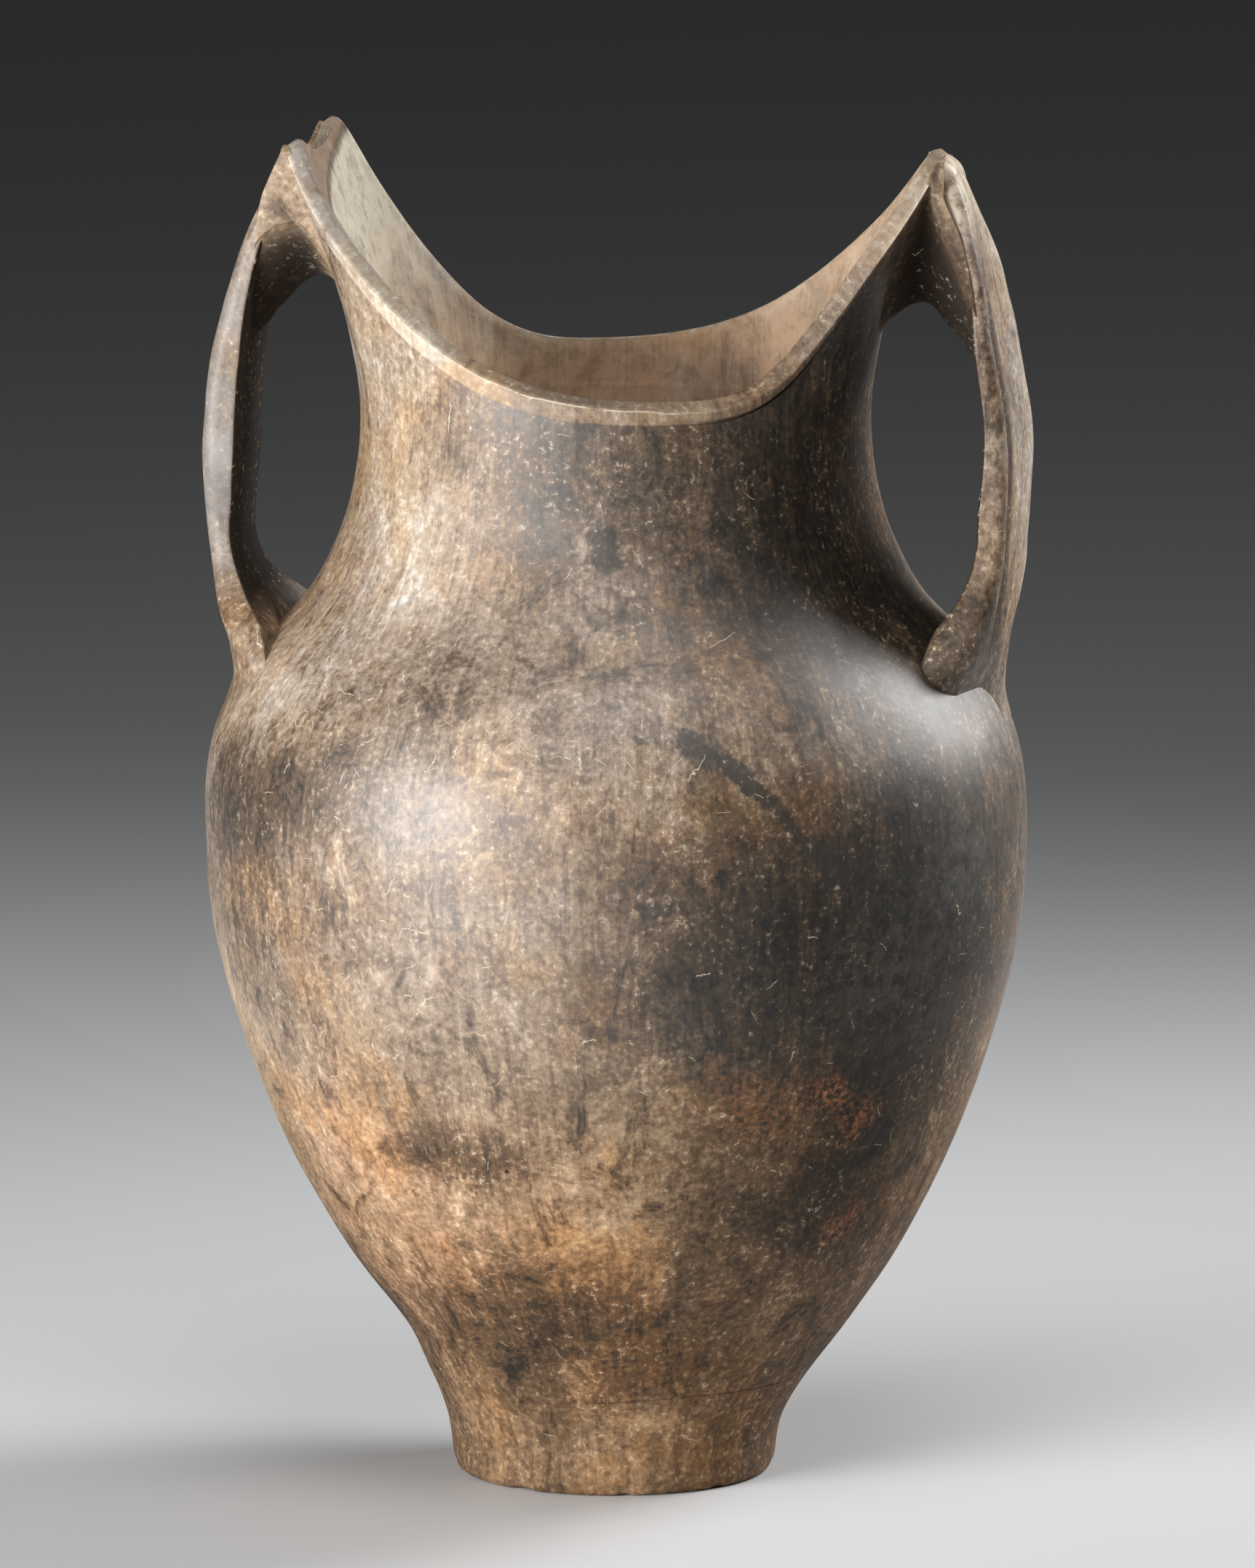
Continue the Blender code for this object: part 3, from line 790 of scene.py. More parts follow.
@dataclass
class StrapHandle(ClayPiece):
    """Wide strap from one end of the mouth to the shoulder, with a hollow between two ridges outside.

    Its top is rounded over the end of the lip, and its foot flows into the shoulder. Names with cap are
    about the rounded top, with root about the joint on the shoulder, and with toe about the end below.
    Each span holds the heights between which something starts or ends.
    """

    side: Side = Side.LEFT
    slot: str = "handle_clay"
    reach: float = 0.1196
    reach_height: float = 0.303
    upper_bow: float = 1.8
    lower_bow: float = 2.0
    top_thickness: float = 0.0044
    mid_thickness: float = 0.0094
    low_thickness: float = 0.0086
    top_width: float = 0.0500
    mid_width: float = 0.0470
    outer_round: float = 0.0040
    inner_round: float = 0.0014
    skew: float = 0.0030
    hollow: float = 0.0026
    swell: float = 0.18
    tilt: float = 0.0
    groove_shade: float = 0.3
    dome: float = 0.0075
    cap_round: float = 0.0042
    cap_narrowing: float = 0.10
    cap_droop: float = 0.0008
    cap_sink: float = 0.0014
    cap_depth: float = 0.0
    cap_reach: float = 0.0030
    cap_edge: float = 0.0006
    cap_highlight_and_wear: float = 0.0
    cap_soot: float = 0.05
    root_drop: float = 0.064
    root_inset: float = 0.0092
    root_thickness: float = 0.0140
    root_width: float = 0.0930
    root_round: float = 0.0075
    root_inner: float = 0.0014
    root_taper: float = 0.62
    root_bend: float = 1.0
    bend_radius: float = 0.108
    fillet: float = 0.0050
    fillet_sink: float = 0.0009
    toe_length: float = 0.0168
    toe_width: float = 0.0420
    toe_dive: float = 0.0
    toe_lead: float = 0.004
    inner_skin: float = 0.0006
    fillet_end: Span = (0.255, 0.285)
    foot_end: Span = (0.240, 0.285)
    bend_end: Span = (0.240, 0.280)
    taper_end: Span = (0.238, 0.268)
    inner_shade_start: Span = (0.246, 0.262)
    hollow_start: Span = (0.240, 0.258)
    hollow_end: Span = (0.345, 0.378)
    swell_end: Span = (0.318, 0.350)
    skew_start: Span = (0.330, 0.385)
    lift_run: float = 0.030
    rows: int = 170
    dome_rows: int = 12
    cap_rows: int = 20
    face_points: int = 44
    edge_points: int = 5
    arc_points: int = 8
    crease: float = 60.0

    def outer(self, z: Array, wall: WallForm) -> Array:
        """Distance of the outer face from the axis.

        Two power curves meet where the strap is widest. At the foot a smooth maximum with the wall, the
        mean of the two plus half the root of their squared gap and a small square, makes a fillet.

        Args:
            z: heights.
            wall: the wall that the strap joins.

        Returns:
            Distances.
        """
        top = wall.end_height(self.side) - self.dome
        start = wall.reach(top, self.side) + self.top_thickness
        rise = np.clip((z - self.reach_height) / (top - self.reach_height), 0, None)
        fall = np.clip((self.reach_height - z) / self.root_drop, 0, None)
        free = self.reach - (self.reach - start) * rise**self.upper_bow
        free = free - self.root_inset * fall**self.lower_bow
        under = wall.reach(z, self.side) - self.fillet_sink
        soft = self.fillet * (1 - ease(*self.fillet_end, z))
        return np.where(soft > 0, (free + under + np.sqrt((free - under) ** 2 + soft**2)) / 2, free)

    def path(self, wall: WallForm) -> tuple[Array, Array, Array, Array, Array, Array]:
        """Path of the strap below its rounded top, from the top down.

        Args:
            wall: the wall that the strap joins.

        Returns:
            Heights, distances of the outer face, the two parts of its normal, thicknesses and widths.
        """
        top = wall.end_height(self.side) - self.dome
        root = self.reach_height - self.root_drop
        bottom = root - self.toe_length
        z = np.linspace(top, bottom, self.rows)
        step = 0.0005
        slope = (self.outer(z + step, wall) - self.outer(z - step, wall)) / (2 * step)
        length = np.sqrt(1 + slope**2)
        knots = (bottom, root, root + 0.011, root + 0.022, self.reach_height, top)
        thicks = (self.root_thickness,) * 3 + (self.low_thickness, self.mid_thickness, self.top_thickness)
        widths = (self.toe_width, self.root_width, self.root_width * 0.91, self.mid_width * 1.18,
                  self.mid_width, self.top_width)
        thick = smooth_curve(z, tuple(zip(knots, thicks))) + self.cap_depth * ease(top - 0.016, top, z)
        wide = smooth_curve(z, tuple(zip(knots, widths)))
        return z, self.outer(z, wall), 1 / length, -slope / length, thick, wide

    def inner_face(self, z: Array, wall: WallForm) -> Array:
        """Distance of the inner face from the axis."""
        height, outer, out_x, out_z, thick, _ = self.path(wall)
        return np.interp(z, (height - thick * out_z)[::-1], (outer - thick * out_x)[::-1])

    def twist(self, across: Array, z: Array) -> Array:
        """Outward shift that turns the top of the strap with the skewed end of the mouth.

        Args:
            across: distances along y.
            z: heights.

        Returns:
            Distances outwards.
        """
        turned = self.skew * ease(*self.skew_start, z)
        place = across / self.top_width
        return turned * (0.5 - place) if self.side is Side.RIGHT else -turned * (0.5 + place)

    def section(self, wide: Array, thick: Array, cap: Array, root: Array) -> tuple[Array, Array]:
        """Rounded rectangle with a larger radius outside than inside, round each row.

        Each point is a sum of shares of the half width, the thickness and the two radii.

        Args:
            wide: width of each row.
            thick: thickness of each row.
            cap: one for the rows of the rounded top, whose corners are rounder, and nought for the others.
            root: one for the rows at the foot, whose corners have their own radii, and nought for the others.

        Returns:
            Distance across and distance out from the outer face, a row for each row.
        """
        run = np.linspace(1, -1, self.face_points)
        side = np.linspace(0, 1, self.edge_points + 2)[1:-1]
        arc = np.linspace(0, math.pi / 2, self.arc_points)
        corners = ((self.outer_round, self.root_round, 0.52), (self.inner_round, self.root_inner, 0.46))
        big, small = (
            np.minimum(plain + (self.cap_round - plain) * cap + (foot - plain) * root, thick * most)[:, None]
            for plain, foot, most in corners
        )
        half, deep = wide[:, None] / 2, thick[:, None]
        upright, level = np.ones_like(side), np.ones_like(run[1:-1])
        edge = -big * (1 - side) - (deep - small) * side
        across = np.concatenate([
            (half - big) * run, -half + big * (1 - np.sin(arc[1:])), -half * upright,
            -half + small * (1 - np.cos(arc)), -(half - small) * run[1:-1], half - small * (1 - np.sin(arc)),
            half * upright, half - big * (1 - np.cos(arc[:-1])),
        ], axis=1)
        out = np.concatenate([
            0 * big * run, -big * (1 - np.cos(arc[1:])), edge,
            -deep + small * (1 - np.sin(arc)), -deep * level, -deep + small * (1 - np.cos(arc)),
            edge[:, ::-1], -big * (1 - np.sin(arc[:-1])),
        ], axis=1)
        return across, out

    def build(self, wall: WallForm) -> bpy.types.Object:
        """Skin of the section carried down the path, under a quarter ellipse over the lip.

        The outer face is pushed in behind the front ridge and rises slowly to the back one. Near the
        root the section bends with the wall, and the front of the toe dives into it.

        Args:
            wall: the wall that the strap joins.

        Returns:
            The strap's object.
        """
        z, outer, out_x, out_z, thick, wide = self.path(wall)
        swing = np.linspace(math.pi / 2, 0, self.dome_rows, endpoint=False)
        lead = np.ones(self.dome_rows)
        ledge = float(wall.reach(z[0], self.side)) - self.cap_reach
        cap_thick = (outer[0] - ledge) * np.cos(swing) + self.cap_edge
        blend = np.concatenate([lead, 1 - ease(0, self.cap_rows, np.arange(len(z)))])
        deep = np.concatenate([cap_thick, thick])
        footing = 1 - ease(*self.foot_end, np.concatenate([lead * z[0], z]))
        width = np.concatenate([lead * wide[0], wide]) * (1 - self.cap_narrowing * blend)
        across, out = self.section(width, deep, blend, footing)
        blend, deep = blend[:, None], deep[:, None]
        angle = wall.end_angle(across, self.side)
        lift = wall.rim(angle) - wall.end_height(self.side) - self.cap_sink
        tall = np.concatenate([z[0] + self.dome * np.sin(swing), z])[:, None]
        distance = np.concatenate([ledge + (outer[0] - ledge) * np.cos(swing), outer])[:, None]
        spin_x = np.concatenate([lead, out_x])[:, None]
        spin_z = np.concatenate([lead * 0, out_z])[:, None]
        share = across / across.max(axis=1, keepdims=True)
        facing = np.zeros_like(across)
        facing[:, :self.face_points] = 1.0
        steady = np.clip(across * 2 / self.mid_width, -1, 1)
        trough = ease(-0.86, -0.60, steady) * (1 - ease(-0.50, 0.82, steady)) * facing
        along = ease(*self.hollow_start, tall) * (1 - ease(*self.hollow_end, tall))
        ahead = (1 - share) / 2 * (1 - blend)
        swell = self.swell * ahead * (1 - ease(*self.swell_end, tall))
        taper = self.root_taper * ease(0.55, 1.0, np.abs(share)) * (1 - ease(*self.taper_end, tall))
        pushed = out * (1 + swell) * (1 - taper) - self.tilt * ahead * (1 + out / deep)
        pushed = pushed - self.hollow * trough * along
        arc_drop = self.bend_radius - np.sqrt(self.bend_radius**2 - across**2)
        bend = self.root_bend * (1 - ease(*self.bend_end, tall)) * arc_drop
        below = np.clip(self.reach_height - self.root_drop + self.toe_lead - tall, 0, None)
        toe = below * ease(0.15, -0.35, share)
        x = distance + self.twist(across, tall) + pushed * spin_x - bend - self.toe_dive * toe
        droop = self.cap_droop * ease(0.45, 1.0, np.abs(share)) * blend
        height = tall + pushed * spin_z + lift * ease(z[0] - self.lift_run, z[0], tall) - droop
        points = np.stack([self.side.value * x, across, height], axis=-1)
        points = self.thumbed(points, tall, float(z[0]))
        # painted shade: the strap's inner face, turned to the wall, is marked dark from inner_shade_start up,
        # and the hollow behind the front ridge by groove_shade; cap_soot darkens the cap's clay
        under_cap = (np.arange(len(across)) > self.dome_rows)[:, None]
        inside = (out < self.inner_skin - deep) & under_cap
        groove = ease(-0.95, -0.86, steady) * (1 - ease(-0.45, -0.15, steady)) * facing * along
        crown = blend * (1 - inside)
        soot_and_shade = np.maximum(self.groove_shade * groove, self.cap_soot * crown)
        shade = np.maximum(inside * ease(*self.inner_shade_start, tall), soot_and_shade)
        # painted highlight: the outer face's far ridge is paled as if it caught the light from behind, and
        # the right cap's dome by cap_highlight_and_wear, each with some wear
        wear = np.maximum(ease(0.50, 0.95, share) * facing * 0.4, self.cap_highlight_and_wear * crown)
        ends = np.zeros(2)
        skin = Skin.tube(points, shade=np.append(shade, ends), wear=np.append(wear, ends))
        return skin.object(self.node, self.crease)

    def thumbed(self, points: Array, tall: Array, top: float) -> Array:
        """Points with the marks of fingers: slow waves down the strap and small lumps, less at the top.

        Args:
            points: points of the strap.
            tall: height of each row.
            top: height at which the marks are least.

        Returns:
            The moved points.
        """
        free = 1 - 0.9 * ease(top - self.lift_run, top, tall)
        out = 0.0006 * lump_noise(points, 0.026, 21.0) + 0.00022 * lump_noise(points, 0.009, 22.0)
        across = 0.0008 * lump_noise(points, 0.030, 23.0) + 0.00030 * lump_noise(points, 0.010, 24.0)
        moved = points.copy()
        moved[..., 0] += free * out
        moved[..., 1] += free * across
        return moved


@dataclass
class HandleWeb(ClayPiece):
    """Clay pressed into the top of an arch, between the strap and the flat end of the mouth.

    Each span holds a height of the arch at the middle and at the front and back edges.
    """

    side: Side = Side.LEFT
    slot: str = "web_clay"
    wall_foot: Span = (0.3450, 0.3590)
    strap_foot: Span = (0.3330, 0.3660)
    apex: Span = (0.3535, 0.3730)
    apex_place: float = 0.40
    edge_power: float = 2.0
    half_width: float = 0.0252
    recess: float = -0.0003
    cover: float = 1.0
    sink: float = 0.0016
    top_gap: float = 0.0016
    # painted shade down the niche below the arch, fading upwards
    soot_and_shade: float = 0.0
    bow_power: float = 0.85
    columns: int = 57
    rows: int = 40
    steps: int = 19
    crease: float = 50.0

    def build(self, wall: WallForm, strap: StrapHandle) -> bpy.types.Object:
        """Skin lofted from front to back: down the wall, along the arch, up the strap and over the top.

        The underside is a pointed arch, a power of a half sine wave between the wall and the strap. Its
        feet and its apex rise with a power of the way to the front and to the back. Each end is closed
        by a grid between the same four sides, hollowed or swollen by a double parabola. With cover, the
        front and back edges reach out over the strap's edge.

        Args:
            wall: the wall that the web is pressed against.
            strap: the strap on its other side.

        Returns:
            The web's object.
        """
        spread = np.linspace(-1, 1, self.columns)[:, None, None]
        u = np.linspace(0, 1, self.steps)[None, None, :]
        v = np.linspace(0, 1, self.rows)[None, :, None]
        edge = np.abs(spread) ** self.edge_power
        near_foot, far_foot, crown = (
            low + (high - low) * edge for low, high in (self.wall_foot, self.strap_foot, self.apex)
        )
        foot = near_foot + (far_foot - near_foot) * u
        bow = np.sin(math.pi * u ** (math.log(0.5) / math.log(self.apex_place))) ** self.bow_power
        arch = foot + (crown - near_foot - (far_foot - near_foot) * self.apex_place) * bow
        angle = wall.end_angle(spread * self.half_width, self.side)
        top = wall.rim(angle) - self.top_gap
        z = arch + (top - arch) * v
        y = spread * self.half_width + 0 * z
        near = np.abs(wall.smooth_points(angle, z, self.sink)[..., 0])
        inside = strap.inner_face(z, wall) + self.sink
        over = self.cover * ease(0.90, 1.0, np.abs(spread)) * ease(0.0, 0.016, z - arch)
        inside = inside + np.maximum(strap.outer(z, wall) - 0.0012 - inside, 0.0) * over
        far = np.maximum(inside + strap.twist(y, z), near + 0.0004)
        x = near + (far - near) * u
        dish = 16 * u * (1 - u) * v * (1 - v) * (np.abs(spread) > 0.999)
        y = y - np.sign(spread) * self.recess * dish
        points = np.stack([self.side.value * x, y, z], axis=-1)
        ragged = 1 - ease(0.0, 0.010, z - arch)
        lumps = 0.0009 * lump_noise(points, 0.0055, 31.0) + 0.0008 * lump_noise(points, 0.013, 32.0)
        points[..., 2] += lumps * ragged
        points[..., 1] += 0.0003 * lump_noise(points, 0.009, 33.0)
        # painted shade: the underside of the arch, and with soot_and_shade the niche's faces, are marked dark
        under = (1 - ease(0.0, 0.006, z - arch)) * (1 - np.abs(spread) ** 12)
        web_shade = np.maximum(under, self.soot_and_shade * (1 - ease(0.004, 0.024, z - arch))) * ease(-0.05, 0.30, u)
        return self.close(points, web_shade)

    def close(self, points: Array, web_shade: Array) -> bpy.types.Object:
        """Keep the outer shell of the block of points: a ring round each column, and the two ends.

        Args:
            points: block of points over columns, rows and steps.
            web_shade: painted shade at each point, under the arch and down the niche.

        Returns:
            The web's object.
        """
        rows, steps = self.rows, self.steps
        number = np.arange(rows * steps).reshape(rows, steps)
        ring = np.concatenate([number[:0:-1, 0], number[0], number[1:, -1], number[-1, -2:0:-1]])
        index = np.arange(self.columns)[:, None] * rows * steps + ring
        sides = Skin.patch_faces(np.concatenate([index, index[:, :1]], axis=1))
        front = Skin.patch_faces(number)
        back = Skin.patch_faces(number)[:, ::-1] + (self.columns - 1) * rows * steps
        faces = np.concatenate([sides, front, back])
        used, compact = np.unique(faces, return_inverse=True)
        kept, shade = points.reshape(-1, 3)[used], web_shade.ravel()[used]
        return Skin.of(kept, [compact.reshape(-1, 4)], shade=shade).object(self.node, self.crease)


class Wire:
    """A shader socket that takes part in Python sums, each of which adds a Math node."""

    def __init__(self, graph: "Graph", socket: bpy.types.NodeSocket) -> None:
        """Keep the socket and the graph that it belongs to."""
        self.graph = graph
        self.socket = socket

    def __add__(self, other: Any) -> "Wire":
        """Sum."""
        return self.graph.math("ADD", self, other)

    def __radd__(self, other: Any) -> "Wire":
        """Sum, with the number first."""
        return self.graph.math("ADD", other, self)

    def __sub__(self, other: Any) -> "Wire":
        """Difference."""
        return self.graph.math("SUBTRACT", self, other)

    def __rsub__(self, other: Any) -> "Wire":
        """Difference, with the number first."""
        return self.graph.math("SUBTRACT", other, self)

    def __mul__(self, other: Any) -> "Wire":
        """Product."""
        return self.graph.math("MULTIPLY", self, other)

    def __rmul__(self, other: Any) -> "Wire":
        """Product, with the number first."""
        return self.graph.math("MULTIPLY", other, self)

    def __truediv__(self, other: Any) -> "Wire":
        """Quotient."""
        return self.graph.math("DIVIDE", self, other)

    def size(self) -> "Wire":
        """Size of the value without its sign."""
        return self.graph.math("ABSOLUTE", self)

    def most(self, other: Any) -> "Wire":
        """Larger of two values."""
        return self.graph.math("MAXIMUM", self, other)

    def sway(self, amount: float) -> "Wire":
        """A noise about its middle, times an amount."""
        return (self - 0.5) * amount

    def twin(self, out: str) -> "Wire":
        """Another output of the same node."""
        return Wire(self.graph, self.socket.node.outputs[out])


class Graph:
    """Node tree of one material, with short ways to add the nodes that the clay needs."""

    def __init__(self, tree: bpy.types.NodeTree) -> None:
        """Keep the tree and empty it."""
        self.tree = tree
        tree.nodes.clear()

    def node(self, kind: str, settings: dict[str, Any] | None = None, inputs: dict[Any, Any] | None = None,
             out: Any = 0) -> Wire:
        """Add any node: its settings first, then the values or links of its sockets.

        Args:
            kind: node type, without the ShaderNode in front.
            settings: properties of the node; stops fill a colour ramp with places and colours.
            inputs: value, wire or colour for each socket, by name or number.
            out: name or number of the socket that is handed back.

        Returns:
            A wire on the chosen output.
        """
        made = self.tree.nodes.new("ShaderNode" + kind)
        for key, value in (settings or {}).items():
            if key == "stops":
                for _ in value[2:]:
                    made.color_ramp.elements.new(0.5)
                for stop, (place, colour) in zip(made.color_ramp.elements, value):
                    stop.position = place
                    stop.color = (*colour, 1.0)
            else:
                setattr(made, key, value)
        for key, value in (inputs or {}).items():
            self.feed(made.inputs[key], value)
        return Wire(self, made.outputs[out])

    def feed(self, socket: bpy.types.NodeSocket, value: Any) -> None:
        """Link a wire to a socket, or set a plain value on it.

        Args:
            socket: the input.
            value: wire, number, vector or colour.
        """
        if isinstance(value, Wire):
            self.tree.links.new(value.socket, socket)
        elif isinstance(value, tuple) and socket.type == "RGBA":
            socket.default_value = (*value, 1.0)
        else:
            socket.default_value = value

    def math(self, operation: str, *values: Any) -> Wire:
        """Math node on one, two or three values."""
        return self.node("Math", {"operation": operation}, dict(enumerate(values)))

    def vector(self, operation: str, *values: Any, out: Any = 0) -> Wire:
        """Vector Math node; out is Value for a length or a dot product."""
        return self.node("VectorMath", {"operation": operation}, dict(enumerate(values)), out)

    def scaled(self, vector: Any, factor: Any) -> Wire:
        """Vector times a number.

        Args:
            vector: wire or fixed vector.
            factor: wire or number.

        Returns:
            A vector wire.
        """
        made = self.vector("SCALE", vector)
        self.feed(made.socket.node.inputs["Scale"], factor)
        return made

    def mix(self, share: Any, first: Any, second: Any) -> Wire:
        """Colour between two colours."""
        return self.node("Mix", {"data_type": "RGBA"}, {0: share, 6: first, 7: second}, 2)

    def tinted(self, share: Any, colour: Wire, factor: Colour) -> Wire:
        """Colour with a share of itself times a factor."""
        return self.mix(share, colour, self.vector("MULTIPLY", colour, factor))

    def mark(self, name: str) -> Wire:
        """What the skin's points are marked with under a name."""
        return self.node("Attribute", {"attribute_name": name}, {}, "Fac")

    def ease(self, low: float, high: float, value: Any) -> Wire:
        """Smooth step from 0 at low to 1 at high, or down where high is the lower one.

        Args:
            low: value that gives 0.
            high: value that gives 1.
            value: wire to read.

        Returns:
            A wire from 0 to 1.
        """
        flip = low > high
        ends = {"From Min": min(low, high), "From Max": max(low, high),
                "To Min": float(flip), "To Max": float(not flip)}
        return self.node("MapRange", {"interpolation_type": "SMOOTHSTEP"}, {"Value": value, **ends})

    def noise(self, where: Any, scale: float, detail: float = 2.0, roughness: float = 0.5, twist: float = 0.0,
              out: str = "Fac") -> Wire:
        """Noise texture, about 0 to 1."""
        values = {"Vector": where, "Scale": scale, "Detail": detail, "Roughness": roughness}
        return self.node("TexNoise", {}, {**values, "Distortion": twist}, out)

    def ripple(self, where: Any, scale: float, amount: float) -> Wire:
        """Coordinates shifted by a noise, so that what is read there has a frayed edge."""
        push = self.vector("SUBTRACT", self.noise(where, scale, 4.0, 0.65, 0.0, "Color"), (0.5, 0.5, 0.5))
        return self.vector("ADD", where, self.scaled(push, amount))


@dataclass(frozen=True)
class Palette:
    """Colours of the fired clay, as linear red, green and blue."""

    tones: tuple[tuple[float, Colour], ...] = (
        (0.00, (0.012, 0.009, 0.006)),
        (0.20, (0.043, 0.027, 0.014)),
        (0.40, (0.118, 0.071, 0.037)),
        (0.58, (0.250, 0.166, 0.096)),
        (0.76, (0.390, 0.285, 0.180)),
        (0.90, (0.540, 0.440, 0.315)),
        (1.00, (0.640, 0.560, 0.440)),
    )
    # near-black of the brush marks, and of the pits, whose dark middles are partly painted shade in the holes
    soot_and_shade: Colour = (0.026, 0.022, 0.018)
    umber: Colour = (0.055, 0.036, 0.022)
    # near-black brown for the shade mark: painted shade on hollows and inner faces, and darker clay on the
    # lip's top and the left cap
    grime_and_shade: Colour = (0.018, 0.011, 0.006)
    warmer: Colour = (1.10, 0.95, 0.74)
    greyer: Colour = (0.94, 1.06, 1.36)
    redder: Colour = (1.12, 0.92, 0.74)
    pinker: Colour = (1.40, 1.24, 1.22)
    orange: Colour = (0.400, 0.140, 0.050)
    cream: Colour = (0.680, 0.590, 0.455)
    ash: Colour = (0.225, 0.213, 0.203)
    moss: Colour = (0.110, 0.106, 0.088)
    ochre: Colour = (0.360, 0.205, 0.085)
    mauve: Colour = (0.290, 0.225, 0.185)
    # pale inside at the left: pale clay and painted sheen
    lining_pale_and_sheen: Colour = (0.520, 0.470, 0.375)
    lining_pink: Colour = (0.420, 0.300, 0.205)
    lining_dark: Colour = (0.550, 0.365, 0.235)
    lining_end: Colour = (0.240, 0.165, 0.115)


@dataclass(frozen=True)
class Stain:
    """Mark at one place of the wall; a strength below nought darkens the clay's tone."""

    angle: float
    height: float
    across: float
    tall: float
    strength: float
    softness: float = 0.9

    @classmethod
    def table(cls, *rows: tuple[float, ...]) -> "tuple[Stain, ...]":
        """Stains from rows of numbers, in the order of the fields."""
        return tuple(cls(*row) for row in rows)


@dataclass(frozen=True)
class BrushMark:
    """Dark stroke between two places of the wall."""

    start: tuple[float, float]
    end: tuple[float, float]
    half_width: float
    strength: float


@dataclass(frozen=True)
class ClayFinish:
    """Variant of the fired clay for one material slot."""

    slot: str
    roughness: float
    tone: float = 0.0
    contrast: float = 1.0
    ash: float = 0.0
    crust: float = 0.0
    right_tone: float = 0.0
    cool: float = 1.0
    gloss: float = 0.36
    coat: float = 0.0
    coat_roughness: float = 0.50
    coat_ior: float = 1.60
    grain: float = 1.0


@dataclass
class ClayFields:
    """Wires that the recipe reads again and again."""

    graph: Graph
    where: Wire
    x: Wire
    y: Wire
    z: Wire
    frayed: Wire
    cloud: Wire
    patch: Wire
    mottle: Wire
    fleck: Wire
    grit: Wire
    stroke: Wire
    sweep: Wire
    scuff: Wire
    tint: Wire

    @classmethod
    def of(cls, g: Graph) -> "ClayFields":
        """Read the object coordinates, and noises of several sizes on them.

        The strokes are noise on a drum unrolled from the pot, squeezed in height so that they stand up.

        Args:
            g: the material's graph.

        Returns:
            The fields.
        """
        where = g.node("TexCoord", out="Object")
        x = g.node("SeparateXYZ", {}, {0: where}, "X")
        y, z = x.twin("Y"), x.twin("Z")
        flat = g.math("SQRT", x * x + y * y) + 0.0001
        around = (x / flat * 0.11, y / flat * 0.11)
        drum = g.node("CombineXYZ", {}, {0: around[0], 1: around[1], 2: z * 0.085})
        leaning = g.node("CombineXYZ", {}, {0: around[0] + z * 0.10, 1: around[1] + z * 0.10, 2: z * 0.24})
        return cls(
            g, where, x, y, z, g.ripple(where, 62.0, 0.020),
            g.noise(where, 9.0, 3.0, 0.55),
            g.noise(where, 30.0, 6.0, 0.62, 0.2),
            g.noise(where, 190.0, 6.0, 0.72, 0.5),
            g.noise(where, 560.0, 3.0, 0.65),
            g.noise(where, 1700.0, 2.0, 0.6),
            g.noise(drum, 430.0, 6.0, 0.72),
            g.noise(leaning, 95.0, 6.0, 0.68),
            g.noise(g.vector("MULTIPLY", where, (1.0, 1.0, 0.55)), 52.0, 8.0, 0.76, 1.1),
            g.node("SeparateColor", {}, {0: g.noise(where, 20.0, 5.0, 0.64, 0.2, "Color")}),
        )


